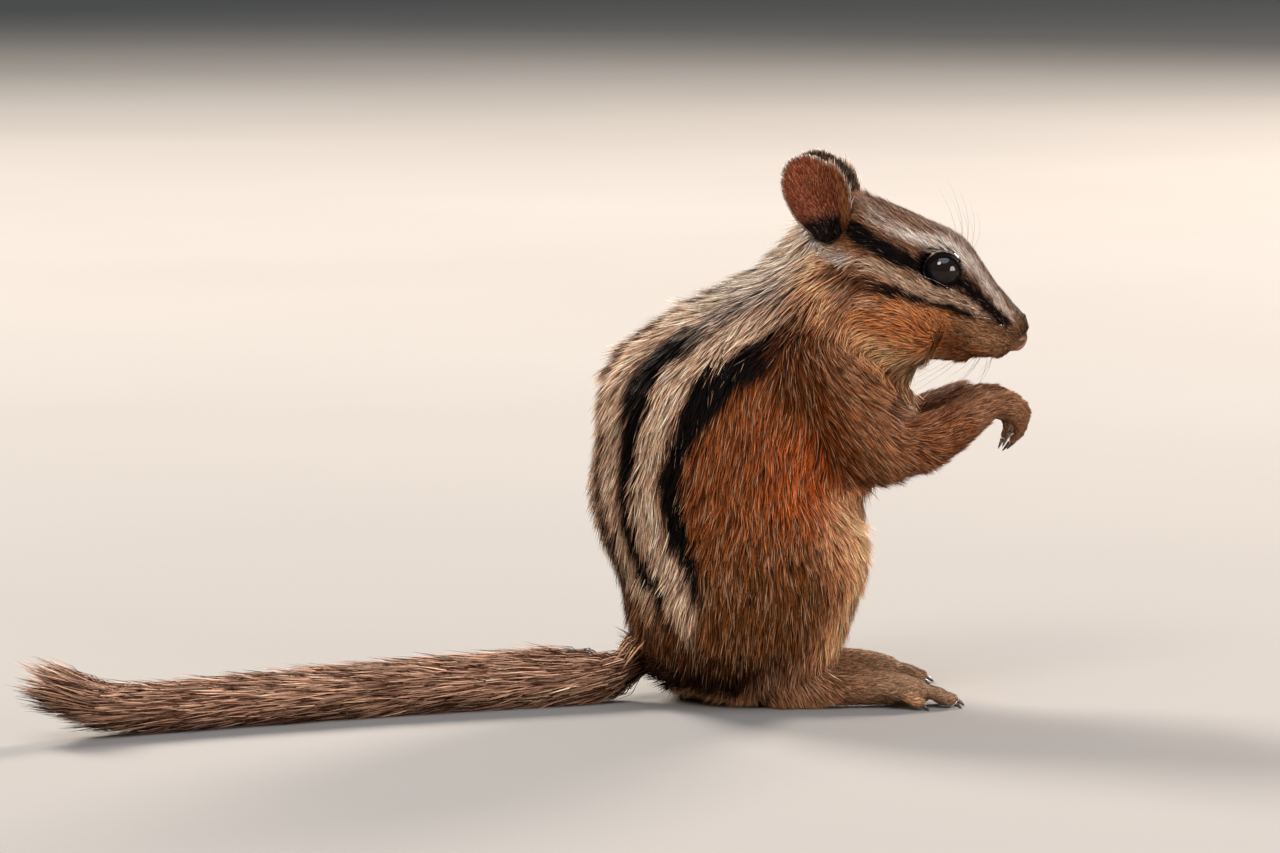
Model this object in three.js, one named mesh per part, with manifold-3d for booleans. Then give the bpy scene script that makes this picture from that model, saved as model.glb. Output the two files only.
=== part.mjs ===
// A chipmunk sitting up with its hands at its mouth, life size, as a still museum model.
// Millimetres. +X is the way the body faces, +Y its left side, +Z up. The origin is on the floor,
// in the middle of the flat under the rump. Every solid reaches the outside of the coat.
import * as THREE from "three";
import { mergeVertices } from "three/addons/utils/BufferGeometryUtils.js";
import Module from "manifold-3d";

const wasm = await Module();
wasm.setup();

// Clearance between two pieces that touch
const GAP = 0.3;
// The right side of the body lies at negative Y, the left side at positive Y
const SIDES = { right: -1, left: 1 };

// Driving sizes
const HEAD_CENTRE = [25.4, -1.6, 64.2];
const HEAD_PITCH = 25;
const HEAD_YAW = 16;
const EYE_RADIUS = 3.3;
const EYE_CENTRE = [8.1, 5.6, 7.3];
const EAR_LENGTH = 13.4;
const EAR_WIDTH = 9.4;
const EAR_WALL = 0.9;
const FOOT_LENGTH = 31.5;
const HAND_WIDTH = 4.8;
const TAIL_CORE_RADIUS = 2.4;
const TAIL_LOCK_LENGTH = 14;
const TAIL_LOCK_WIDTH = 3.4;
const TAIL_LOCK_THICKNESS = 0.8;

// Landmarks of the right limbs; the left ones are mirrored
const SHOULDER = [13.5, -9.5, 52.5];
const ELBOW = [24.5, -11.5, 40];
const WRIST = [40.5, -6.8, 45.6];
const HIP = [-1, -7.5, 17];
const KNEE = [14.5, -11, 24];
const HEEL = [8, -11, 3.3];

// Colours of the coat and the bare skin
const COAT = { back: 0x8a6a52, flank: 0x9a6238, pale: 0xd9ab84, ear: 0x8c5c42 };
const BARE = { nose: 0x4a3230, eye: 0x0c0a0a, claw: 0x2e2420 };

const vec = (p) => new THREE.Vector3(...p);
const rad = THREE.MathUtils.degToRad;
const mix = THREE.MathUtils.lerp;
const clamp = THREE.MathUtils.clamp;
const onSide = ([x, y, z], side) => [x, -side * y, z];

// The head's own frame: x to the nose, y to its left, z up from the brow
const headFrame = new THREE.Matrix4()
  .makeRotationFromEuler(new THREE.Euler(0, rad(HEAD_PITCH), -rad(HEAD_YAW), "ZYX"))
  .setPosition(...HEAD_CENTRE);
const headInverse = headFrame.clone().invert();
const inHead = (p) => vec(p).applyMatrix4(headFrame).toArray();

// Forms: each is a distance in mm, negative inside

function ellipsoid([x, y, z], [a, b, c], tilt = 0) {
  const cos = Math.cos(rad(tilt)), sin = Math.sin(rad(tilt));
  return (p) => {
    const dx = p.x - x, dz = p.z - z;
    const u = dx * cos - dz * sin, v = p.y - y, w = dx * sin + dz * cos;
    const inner = Math.hypot(u / a, v / b, w / c);
    const slope = Math.hypot(u / (a * a), v / (b * b), w / (c * c));
    return slope < 1e-9 ? -Math.min(a, b, c) : (inner * (inner - 1)) / slope;
  };
}

function taper(from, to, fromRadius, toRadius) {
  const a = vec(from), ab = vec(to).sub(a), ap = new THREE.Vector3();
  return (p) => {
    ap.copy(p).sub(a);
    const t = clamp(ap.dot(ab) / ab.lengthSq(), 0, 1);
    return ap.addScaledVector(ab, -t).length() - mix(fromRadius, toRadius, t);
  };
}

const both = (form) => {
  const q = new THREE.Vector3();
  return (p) => form(q.set(p.x, -Math.abs(p.y), p.z));
};

// Smooth union: pieces closer than k melt together
const melt = (k, forms) => (p) =>
  forms.reduce((d, form) => {
    const e = form(p), h = Math.max(k - Math.abs(d - e), 0) / k;
    return Math.min(d, e) - (h * h * k) / 4;
  }, 1e3);

const plane = (point, normal) => {
  const o = vec(point), n = vec(normal).normalize();
  return { o, n, field: (p) => n.x * (p.x - o.x) + n.y * (p.y - o.y) + n.z * (p.z - o.z) };
};

const headForms = melt(3, [
  ellipsoid([-3, 0, 3], [12.5, 10, 9.6]),
  ellipsoid([5.5, 0, 5], [9.5, 8.2, 7.6], 8),
  taper([8, 0, 5.0], [20.9, 0, 3.0], 6.6, 3.3),
  both(ellipsoid([16.5, -1.9, 0.2], [5.6, 2.7, 3.0], 12)),
  both(ellipsoid([3.5, -6.2, -3.2], [9.5, 5.4, 7.2], 6)),
  taper([0, 0, -4.5], [15.6, 0, -3.3], 6.4, 1.9),
  both(ellipsoid([-8, -5.8, 5.5], [4.5, 4.2, 6])),
]);

const bodyForms = melt(6, [
  ellipsoid([2.8, 0, 15.5], [16.2, 13.2, 17]),
  ellipsoid([2.2, 0, 34], [21.6, 15.5, 21.5]),
  ellipsoid([2.6, 0, 46], [20.6, 14, 13.5], 12),
  ellipsoid([20, 0, 46.5], [11.5, 9.5, 9]),
  taper([4, 0, 53], [20, -1, 62.5], 11.5, 10.8),
  both(taper(SHOULDER, ELBOW, 6.2, 5.6)),
  both(ellipsoid([6, -8.8, 17.5], [14.5, 9.5, 16.5])),
  both(taper(HIP, KNEE, 10, 7)),
]);

const nearHead = new THREE.Vector3();
const animal = melt(5, [bodyForms, (p) => headForms(nearHead.copy(p).applyMatrix4(headInverse))]);

// Cuts between the torso, the neck and the head
const NECK_BASE = plane([9, 0, 56.2], [0.5, 0, 0.87]);
const NAPE = plane(inHead([-14.5, 0, 8]), new THREE.Vector3(0.6, 0, 0.8).transformDirection(headFrame).toArray());
const FLOOR = plane([0, 0, 0], [0, 0, 1]);

// Solids

function solid(geometry) {
  const bare = new THREE.BufferGeometry()
    .setAttribute("position", geometry.getAttribute("position"))
    .setIndex(geometry.getIndex());
  const merged = mergeVertices(bare, 1e-4);
  const corners = merged.getIndex().array;
  const faces = [];
  for (let i = 0; i < corners.length; i += 3) {
    const [a, b, c] = corners.subarray(i, i + 3);
    if (a !== b && b !== c && c !== a) faces.push(a, b, c);
  }
  const vertProperties = Float32Array.from(merged.getAttribute("position").array);
  return new wasm.Manifold(
    new wasm.Mesh({ numProp: 3, vertProperties, triVerts: Uint32Array.from(faces) }),
  );
}

// A capsule laid along a curve: place(frame, local, share) says where each of its vertices goes
function capsuleAlong(axis, side, { around, along, caps }, place) {
  const geometry = new THREE.CapsuleGeometry(1, 1, caps, around, along);
  const position = geometry.getAttribute("position");
  const local = new THREE.Vector3();
  for (let i = 0; i < position.count; i++) {
    local.fromBufferAttribute(position, i);
    const share = clamp(local.y + 0.5, 0, 1);
    const root = axis.getPoint(share), forward = axis.getTangent(share);
    const left = side.clone().addScaledVector(forward, -side.dot(forward)).normalize();
    const down = left.clone().cross(forward);
    local.y -= share - 0.5;
    position.setXYZ(i, ...place({ root, forward, left, down }, local, share));
  }
  return solid(geometry);
}

// A skin pushed out from the curve to where the field passes zero
const SEARCH_STEP = 0.6, SEARCH_END = 60, HALVINGS = 12;
function wrap(field, axis, detail, grow = 0, side = new THREE.Vector3(0, 1, 0)) {
  const at = new THREE.Vector3();
  return capsuleAlong(axis, side, detail, ({ root, forward, left, down }, local) => {
    const way = forward.multiplyScalar(local.y).addScaledVector(left, local.x).addScaledVector(down, local.z);
    const outside = (d) => field(at.copy(root).addScaledVector(way, d)) > 0;
    let near = 0, far = SEARCH_STEP;
    while (!outside(far) && far < SEARCH_END) near = far, far += SEARCH_STEP;
    for (let n = 0; n < HALVINGS; n++) {
      const middle = (near + far) / 2;
      if (outside(middle)) far = middle;
      else near = middle;
    }
    return root.addScaledVector(way, near + grow);
  });
}

// A tube of oval section: half(share) gives its half width and half height there
function tube(axis, half, detail, { grow = 0, side = new THREE.Vector3(0, 1, 0), ends = 1 } = {}) {
  return capsuleAlong(axis, side, detail, ({ root, forward, left, down }, local, share) => {
    const [wide, high] = half(share);
    const end = Math.min(wide, high) * ends + grow;
    return root
      .addScaledVector(forward, local.y * end)
      .addScaledVector(left, local.x * (wide + grow))
      .addScaledVector(down, local.z * (high + grow));
  });
}

const curve = (...points) => new THREE.CatmullRomCurve3(points.map(vec), false, "centripetal");
const line = (from, to) => new THREE.LineCurve3(vec(from), vec(to));
const joined = (solids) => solids.reduce((a, b) => a.add(b));
const minus = (whole, cutters) => cutters.reduce((a, b) => a.subtract(b), whole);
const above = (whole, { o, n }, gap = 0) => whole.trimByPlane(n.toArray(), n.dot(o) + gap);
const below = (whole, { o, n }, gap = 0) =>
  whole.trimByPlane(n.clone().negate().toArray(), -n.dot(o) + gap);
const mirrored = (made, side) => (side < 0 ? made : made.mirror([0, 1, 0]));
const largest = (made) => made.decompose().reduce((a, b) => (b.volume() > a.volume() ? b : a));
// Edges shorter than this are closed up
const FINEST = 0.05;

// Head parts, placed in the head's frame

const eyeBall = (side, grow = 0) => {
  const ball = new THREE.SphereGeometry(EYE_RADIUS + grow, 16, 10);
  return solid(ball.applyMatrix4(new THREE.Matrix4().setPosition(...inHead(onSide(EYE_CENTRE, -side)))));
};

// The rim of the lids, an almond-shaped ring that lies on the eyeball
function eyeLids(side) {
  const ring = new THREE.TorusGeometry(EYE_RADIUS * 0.92, 0.56, 5, 18);
  const outward = new THREE.Vector3(0.2, side, 0.16).normalize();
  const turn = new THREE.Quaternion().setFromUnitVectors(new THREE.Vector3(0, 0, 1), outward);
  const centre = vec(onSide(EYE_CENTRE, -side)).addScaledVector(outward, EYE_RADIUS * 0.44);
  return solid(ring.applyMatrix4(new THREE.Matrix4().compose(centre, turn, new THREE.Vector3(1, 1, 1.2)))
    .applyMatrix4(headFrame));
}

// An ear is a sheet rolled into a cup: narrow and tightly rolled at its root, open at its round top
const EAR_ROOT = [-8.2, -7.6, 4.8];
const EAR_UP = [-0.74, -0.25, 0.64];
const EAR_OUT = [0.42, -0.9, 0.1];
function ear(side) {
  const up = vec(EAR_UP).normalize();
  const out = vec(EAR_OUT).addScaledVector(up, -vec(EAR_OUT).dot(up)).normalize();
  const across = up.clone().cross(out);
  const sheet = new THREE.SphereGeometry(1, 18, 10);
  sheet.rotateX(Math.PI / 2);
  const position = sheet.getAttribute("position");
  for (let i = 0; i < position.count; i++) {
    const [u, v, face] = [position.getX(i), position.getY(i), position.getZ(i)];
    const height = (v + 1) / 2;
    const roll = mix(rad(115), rad(34), Math.sqrt(clamp(height, 0, 1)));
    const shape = mix(0.62, 1, Math.sin(Math.PI * Math.min(height * 0.85, 0.5)));
    const radius = (EAR_WIDTH * 0.5 * shape) / Math.sin(Math.min(roll, Math.PI / 2));
    const angle = u * roll;
    const reach = radius + face * EAR_WALL * 0.5;
    const p = vec(EAR_ROOT)
      .addScaledVector(up, EAR_LENGTH * height)
      .addScaledVector(across, Math.sin(angle) * reach)
      .addScaledVector(out, radius * 0.55 - Math.cos(angle) * reach);
    position.setXYZ(i, ...p);
  }
  const made = solid(sheet);
  return placedInHead(made.volume() < 0 ? solid(flipped(sheet)) : made, side);
}

function flipped(geometry) {
  const turned = geometry.clone();
  const index = turned.getIndex();
  for (let i = 0; i < index.count; i += 3) {
    const first = index.getX(i);
    index.setX(i, index.getX(i + 1));
    index.setX(i + 1, first);
  }
  return turned;
}

const placedInHead = (made, side) => mirrored(made, side).transform(headFrame.toArray());

// The nose pad with its two nostrils and the groove between them
const NOSE = [22.4, 0, 1.9];
function nose(grow = 0) {
  const pad = tube(line([NOSE[0] - 1, 0, NOSE[2] + 0.5], [NOSE[0] + 0.3, 0, NOSE[2] - 0.5]),
    () => [2.1, 2.0], { around: 12, along: 2, caps: 3 }, { grow, ends: 0.75 });
  const nostril = tube(curve([24.4, 0.7, 2.3], [24.2, 1.5, 1.5], [23.2, 2.3, 1.3]), () => [0.4, 0.4],
    { around: 6, along: 4, caps: 1 }, { side: new THREE.Vector3(0, 0, 1) });
  const groove = tube(line([24.9, 0, 2.6], [23.8, 0, -0.6]), () => [0.28, 0.6], { around: 6, along: 2, caps: 1 });
  const made = grow ? pad : minus(pad, [nostril, nostril.mirror([0, 1, 0]), groove]);
  return made.transform(headFrame.toArray());
}

// The line of the mouth: a thin slit between the upper lip and the recessed lower jaw
const MOUTH = { line: [[21.5, -1.4], [18.6, -3.1], [15.6, -3.35], [12.4, -2.5]], width: 14, opening: 0.5 };
function mouthSlit() {
  const edge = MOUTH.line.map(([x, z]) => new THREE.Vector2(x, z));
  const back = MOUTH.line.slice().reverse().map(([x, z]) => new THREE.Vector2(x, z - MOUTH.opening));
  const blade = new THREE.ExtrudeGeometry(new THREE.Shape([...back, ...edge]), { depth: MOUTH.width, bevelEnabled: false });
  blade.rotateX(Math.PI / 2).translate(0, MOUTH.width / 2, 0);
  return solid(blade.applyMatrix4(headFrame));
}

// Limbs, made on the right and mirrored

const forearm = (side, grow = 0) =>
  mirrored(tube(curve(ELBOW, [32, -10.6, 41.2], WRIST), (s) => [mix(5.3, 2.9, s), mix(5.6, 3.0, s)],
    { around: 14, along: 6, caps: 3 }, { grow, ends: 0.9 }), side);

const HAND = { knuckles: [46.4, -5.0, 45.2], finger: 4.6, thick: 0.72 };
const FINGERS = [-1.5, -0.5, 0.5, 1.5];
// Where finger n of the right hand starts, and the curve that it takes round what the hand would hold
function fingerCurve(n) {
  const spread = FINGERS[n] * (HAND_WIDTH / 4);
  const [x, y, z] = HAND.knuckles;
  const root = [x - 0.7 + spread * 0.42, y - 0.3, z + spread * 0.75];
  const length = HAND.finger * (n === 0 || n === 3 ? 0.86 : 1);
  return curve(root,
    [root[0] + length * 0.42, root[1] + 0.25, root[2] - length * 0.2],
    [root[0] + length * 0.52, root[1] + 1.1, root[2] - length * 0.62],
    [root[0] + length * 0.36, root[1] + 2.1, root[2] - length * 0.92]);
}
function hand(side, grow = 0) {
  const palm = tube(curve(WRIST, [43.6, -5.9, 46], HAND.knuckles), (s) => [mix(2.3, HAND_WIDTH * 0.52, s), mix(2.6, 1.5, s)],
    { around: 10, along: 3, caps: 2 }, { grow, side: new THREE.Vector3(0.35, 0.2, 0.9) });
  const fingers = FINGERS.map((_, n) =>
    tube(fingerCurve(n), (s) => [mix(HAND.thick, HAND.thick * 0.8, s), mix(HAND.thick * 1.1, HAND.thick * 0.8, s)],
      { around: 6, along: 4, caps: 1 }, { grow, side: new THREE.Vector3(0.4, 0.1, 1) }));
  const thumb = tube(line([44, -4.2, 44.6], [45, -2.6, 44.2]), () => [0.8, 0.8], { around: 6, along: 2, caps: 1 }, { grow });
  return mirrored(joined([palm, ...fingers, thumb]), side);
}

// A claw hangs on from the last point of a digit's curve, along its last direction, and hooks down
function claw(digit, length, side, hook = new THREE.Vector3(0, 0, -1)) {
  const tip = digit.getPoint(1), way = digit.getTangent(1);
  const root = tip.clone().addScaledVector(way, 0.2);
  const bend = root.clone().addScaledVector(way, length * 0.62);
  const point = bend.clone().addScaledVector(way, length * 0.3).addScaledVector(hook, length * 0.42);
  const made = tube(new THREE.QuadraticBezierCurve3(root, bend, point),
    (s) => [mix(0.36, 0.1, s), mix(0.5, 0.12, s)], { around: 5, along: 2, caps: 1 },
    { side: new THREE.Vector3(0.1, 1, 0.1), ends: 1 });
  return mirrored(made, side);
}

// The foot, flat on the floor, with five toes
const TOES = [
  { across: 2.5, back: 3.6, length: 3.8 },
  { across: 1.35, back: 0.5, length: 5.9 },
  { across: 0.1, back: 0, length: 6.4 },
  { across: -1.2, back: 0.5, length: 6.0 },
  { across: -2.4, back: 4.0, length: 4.4 },
];
const TOE = { thick: 1.0, splay: 0.16, turnOut: 0.1 };
function toeCurve(n) {
  const { across, back, length } = TOES[n];
  const ball = HEEL[0] + FOOT_LENGTH - 9.6;
  const root = [ball - back - 1.2, HEEL[1] - 1.1 + across, 2.2];
  const sideways = -TOE.turnOut + across * TOE.splay;
  return curve(root,
    [root[0] + length * 0.45, root[1] + length * 0.45 * sideways, 2.5],
    [root[0] + length * 0.82, root[1] + length * 0.85 * sideways, 1.5],
    [root[0] + length * 1.05, root[1] + length * 1.05 * sideways, 1.05]);
}
function foot(side, grow = 0) {
  const ball = HEEL[0] + FOOT_LENGTH - 10;
  const sole = tube(curve(HEEL, [HEEL[0] + 10, HEEL[1] - 0.4, 3.2], [ball - 3, HEEL[1] - 0.9, 2.7], [ball + 0.5, HEEL[1] - 1.1, 2.2]),
    (s) => [mix(2.7, 3.3, s), mix(3.7, 2.0, s)], { around: 12, along: 7, caps: 2 }, { grow, ends: 0.8 });
  const toes = TOES.map((_, n) =>
    tube(toeCurve(n), (s) => [mix(TOE.thick, TOE.thick * 0.82, s), mix(TOE.thick * 1.15, TOE.thick * 0.85, s)],
      { around: 7, along: 4, caps: 1 }, { grow }));
  const made = joined([sole, ...toes]);
  return mirrored(grow ? made : above(made, FLOOR), side);
}

// The tail: a core along the floor that flicks up at its end, under overlapping locks of long hair
const TAIL = curve([-6, 0, 8], [-15, -1, 4.9], [-30, -3.5, 4], [-50, -8.5, 3.8], [-70, -15, 3.7],
  [-84, -20, 3.7], [-93, -23.4, 4.3], [-99, -25.8, 6.2]);
const TAIL_PARTS = { tail_base: [0, 0.36], tail_middle: [0.36, 0.7], tail_tip: [0.7, 1] };
const LOCK_RINGS = 10, LOCKS_AROUND = 6;
const tailRadius = (s) => TAIL_CORE_RADIUS * mix(1.25, 0.72, s);

function tailCore(from, to, grow = 0) {
  const part = new THREE.CatmullRomCurve3(
    Array.from({ length: 9 }, (_, i) => TAIL.getPointAt(mix(from, to, i / 8))), false, "centripetal");
  return tube(part, (s) => [tailRadius(mix(from, to, s)), tailRadius(mix(from, to, s))],
    { around: 10, along: 10, caps: 2 }, { grow });
}

function tailLock(s, angle, length) {
  const root = TAIL.getPointAt(s), along = TAIL.getTangentAt(s);
  const left = new THREE.Vector3(0, 1, 0).addScaledVector(along, -along.y).normalize();
  const up = along.clone().cross(left).negate();
  const out = left.clone().multiplyScalar(Math.sin(angle)).addScaledVector(up, Math.cos(angle));
  const flat = out.clone().cross(along);
  const start = root.clone().addScaledVector(out, tailRadius(s) * 0.6);
  const middle = root.clone().addScaledVector(out, tailRadius(s) + length * 0.15).addScaledVector(along, length * 0.4);
  const tip = root.clone().addScaledVector(out, tailRadius(s) + length * 0.13).addScaledVector(along, length);
  return tube(new THREE.QuadraticBezierCurve3(start, middle, tip),
    (t) => {
      const width = TAIL_LOCK_WIDTH * 0.5 * (0.75 + t - 1.6 * t ** 3);
      return [width, TAIL_LOCK_THICKNESS * 0.5 * mix(1, 0.4, t)];
    }, { around: 4, along: 2, caps: 1 }, { side: flat });
}

function tailPart(from, to) {
  const locks = [];
  for (let ring = 0; ring < LOCK_RINGS; ring++) {
    const s = (ring + 0.6) / LOCK_RINGS;
    if (s < from || s >= to) continue;
    for (let n = 0; n < LOCKS_AROUND; n++) {
      const angle = ((n + (ring % 2) / 2) / LOCKS_AROUND) * 2 * Math.PI;
      const vary = 1 + 0.12 * Math.sin(ring * 2.3 + n * 4.1);
      locks.push(tailLock(s, angle, TAIL_LOCK_LENGTH * vary * mix(1, 0.8, s)));
    }
  }
  return above(joined([tailCore(from, to), ...locks]), FLOOR);
}

// The whole animal, child pieces first, each parent carved back from its children
const parts = {};

for (const [name, side] of Object.entries(SIDES)) {
  parts[`eye_${name}`] = eyeBall(side);
  parts[`ear_${name}`] = ear(side);
  parts[`hand_${name}`] = hand(side);
  parts[`foot_${name}`] = foot(side);
  FINGERS.forEach((_, n) => (parts[`fore_claw_${name}_${n + 1}`] = claw(fingerCurve(n), 1.9, side, new THREE.Vector3(-0.5, 0.5, -0.6))));
  TOES.forEach((_, n) => (parts[`hind_claw_${name}_${n + 1}`] = claw(toeCurve(n), 2.3, side)));
}
parts.nose = nose();
const tails = Object.entries(TAIL_PARTS).map(([name, [from, to]]) => [name, tailPart(from, to)]);
for (const [name, made] of tails) parts[name] = made;

// How far a wrap runs on past a seam before the cut
const SEAM_MARGIN = 6;
const TORSO_DETAIL = { around: 30, along: 11, caps: 8 };
const NECK_DETAIL = { around: 28, along: 7, caps: 5 };
const HEAD_DETAIL = { around: 30, along: 20, caps: 6 };
const clipped = (...limits) => (p) => Math.max(animal(p), ...limits.map((f) => f(p)));

const torsoField = clipped((p) => NECK_BASE.field(p) - SEAM_MARGIN);
const TORSO_AXIS = line([4, 0, 13], [6, 0, 46]);
const torso = wrap(torsoField, TORSO_AXIS, TORSO_DETAIL);
const neckField = clipped((p) => -NECK_BASE.field(p) - SEAM_MARGIN, (p) => NAPE.field(p) - SEAM_MARGIN);
const neck = wrap(neckField, line([7, 0, 61], [21, -0.8, 55.5]), NECK_DETAIL);
const headField = clipped((p) => -NAPE.field(p) - SEAM_MARGIN);
const headAxis = line(inHead([-4, 0, 0.5]), inHead([17.5, 0, 0.6]));
const head = (grow) => wrap(headField, headAxis, HEAD_DETAIL, grow);

parts.neck = below(above(neck, NECK_BASE, GAP / 2), NAPE, GAP / 2);
parts.head = above(above(joined([head(0), eyeLids(-1), eyeLids(1)]), NAPE, GAP / 2), NECK_BASE, GAP / 2);
const headGrown = head(GAP);

// Thighs and upper arms are the parts of the animal inside these regions
const thighRegion = melt(5, [taper(HIP, KNEE, 12, 9), ellipsoid([7.5, -13, 14], [12.5, 9, 14])]);
const THIGH_AXIS = line([2, -10.5, 16], [10.5, -11, 19.5]);
const armRegion = taper(SHOULDER, ELBOW, 7.6, 8);
const ARM_AXIS = line(SHOULDER, ELBOW);
const LIMB_DETAIL = { around: 18, along: 5, caps: 4 };
const LIMB_MARGIN = 3;
const limbSolid = (region, axis, side) => ({
  inside: mirrored(wrap((p) => Math.max(region(p) - LIMB_MARGIN, animal(p)), axis, LIMB_DETAIL)
    .intersect(wrap(region, axis, LIMB_DETAIL)), side),
  room: mirrored(wrap(region, axis, LIMB_DETAIL, GAP), side),
});

for (const [name, side] of Object.entries(SIDES)) {
  parts[`ear_${name}`] = largest(minus(parts[`ear_${name}`], [headGrown]));
  parts.head = minus(parts.head, [eyeBall(side, GAP)]);
  parts[`forearm_${name}`] = minus(forearm(side), [hand(side, GAP)]);
  const outer = plane([0, side * 3.5, 0], [0, side, 0]);
  const ground = above(torso, FLOOR);
  const limbs = [foot(side, GAP), forearm(side, GAP)];
  const thigh = limbSolid(thighRegion, THIGH_AXIS, side);
  const upperArm = limbSolid(armRegion, ARM_AXIS, side);
  parts[`thigh_${name}`] = largest(minus(above(above(thigh.inside, outer, GAP), FLOOR), limbs));
  parts[`upper_arm_${name}`] = largest(minus(below(above(upperArm.inside, outer, GAP), NECK_BASE, GAP / 2), limbs));
  parts.torso = minus(parts.torso ?? below(ground, NECK_BASE, GAP / 2),
    [above(thigh.room, outer), above(upperArm.room, outer), ...limbs]);
}
parts.head = minus(parts.head, [nose(GAP), mouthSlit(), ...Object.values(SIDES).map((side) => forearm(side, GAP))]);
parts.neck = minus(parts.neck, Object.values(SIDES).map((side) => forearm(side, GAP)));

// Claws are trimmed to the digits that carry them, and each tail length to the next
for (const [name, side] of Object.entries(SIDES)) {
  const digits = { fore: [hand(side, GAP), FINGERS], hind: [foot(side, GAP), TOES] };
  for (const [limb, [grown, list]] of Object.entries(digits))
    list.forEach((_, n) => {
      const key = `${limb}_claw_${name}_${n + 1}`;
      parts[key] = above(largest(minus(parts[key], [grown])), FLOOR);
    });
}
parts.tail_base = largest(minus(parts.tail_base, [tailCore(...TAIL_PARTS.tail_middle, GAP), wrap(torsoField, TORSO_AXIS, TORSO_DETAIL, GAP)]));
parts.tail_middle = largest(minus(parts.tail_middle, [tailCore(...TAIL_PARTS.tail_tip, GAP), parts.tail_base]));
parts.tail_tip = largest(minus(parts.tail_tip, [parts.tail_middle]));

// The scene graph

function materialFor(name) {
  const finish = { roughness: 0.9, metalness: 0 };
  if (name.startsWith("eye")) return new THREE.MeshStandardMaterial({ color: BARE.eye, roughness: 0.05, metalness: 0 });
  if (name.includes("claw")) return new THREE.MeshStandardMaterial({ color: BARE.claw, roughness: 0.4, metalness: 0 });
  if (name === "nose") return new THREE.MeshStandardMaterial({ color: BARE.nose, roughness: 0.5, metalness: 0 });
  if (name.startsWith("ear")) return new THREE.MeshStandardMaterial({ color: COAT.ear, ...finish });
  if (/hand|foot/.test(name)) return new THREE.MeshStandardMaterial({ color: COAT.pale, ...finish });
  if (/arm|thigh/.test(name)) return new THREE.MeshStandardMaterial({ color: COAT.flank, ...finish });
  return new THREE.MeshStandardMaterial({ color: COAT.back, ...finish });
}

function meshOf(name, made) {
  const { vertProperties, triVerts, numProp } = largest(made).asOriginal().simplify(FINEST).getMesh();
  const geometry = new THREE.BufferGeometry()
    .setAttribute("position", new THREE.BufferAttribute(vertProperties, numProp))
    .setIndex(new THREE.BufferAttribute(triVerts, 1));
  geometry.computeVertexNormals();
  const mesh = new THREE.Mesh(geometry, materialFor(name));
  mesh.name = name;
  return mesh;
}

const chipmunk = new THREE.Group();
for (const [name, made] of Object.entries(parts)) chipmunk.add(meshOf(name, made));
export default chipmunk;
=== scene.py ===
"""The looks of a chipmunk that sits up with its hands at its mouth: one skin, its coat and its eyes.

Points are worked out in millimetres, in the row's own frame: +X the way the body faces, +Y its
left side, +Z up, the floor at zero. Meshes are scaled to metres as they are made.
"""

import math

import bpy
import numpy as np
from mathutils import Matrix, Vector, kdtree


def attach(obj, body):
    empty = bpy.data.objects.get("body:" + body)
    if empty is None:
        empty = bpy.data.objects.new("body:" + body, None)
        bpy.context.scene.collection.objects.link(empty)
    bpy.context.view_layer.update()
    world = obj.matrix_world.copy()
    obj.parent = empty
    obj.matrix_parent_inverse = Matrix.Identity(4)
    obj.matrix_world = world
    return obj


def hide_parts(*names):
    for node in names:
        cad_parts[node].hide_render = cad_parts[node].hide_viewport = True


MM = 0.001
SEED = 11
SIDES = {"right": -1, "left": 1}

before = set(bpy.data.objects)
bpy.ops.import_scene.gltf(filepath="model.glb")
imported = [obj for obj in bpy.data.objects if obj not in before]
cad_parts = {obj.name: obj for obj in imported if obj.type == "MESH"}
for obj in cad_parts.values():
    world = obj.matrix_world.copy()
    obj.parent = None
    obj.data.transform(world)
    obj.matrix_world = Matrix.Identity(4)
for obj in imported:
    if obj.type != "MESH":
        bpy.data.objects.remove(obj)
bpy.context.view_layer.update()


# Camera, at the height and side that the animal is seen from

VIEW_AZIMUTH, VIEW_ELEVATION = -8.0, 6.0
VIEW_CENTRE = (-11.7, 0, 42.8)
VIEW_DISTANCE = 900
VIEW_WIDTH = 198.4
FILM_WIDTH = 36


def direction(azimuth, elevation):
    """The way out from the animal, turned from its right side and raised, both in degrees."""
    turn, rise = math.radians(azimuth), math.radians(elevation)
    return Vector((math.sin(turn) * math.cos(rise), -math.cos(turn) * math.cos(rise), math.sin(rise)))


def add_camera():
    back = direction(VIEW_AZIMUTH, VIEW_ELEVATION)
    data = bpy.data.cameras.new("camera")
    data.sensor_width = FILM_WIDTH
    data.lens = FILM_WIDTH * VIEW_DISTANCE / VIEW_WIDTH
    data.clip_start, data.clip_end = 0.01, 20
    camera = bpy.data.objects.new("camera", data)
    camera.location = (Vector(VIEW_CENTRE) + back * VIEW_DISTANCE) * MM
    camera.rotation_euler = back.to_track_quat("Z", "Y").to_euler()
    bpy.context.scene.collection.objects.link(camera)
    bpy.context.scene.camera = camera


add_camera()


# Landmarks. Those of a pair are given on the left side. The eyes, ears and nose are in the head's own
# frame, with its X forward along the muzzle, and the other landmarks are in the row's frame.

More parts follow.
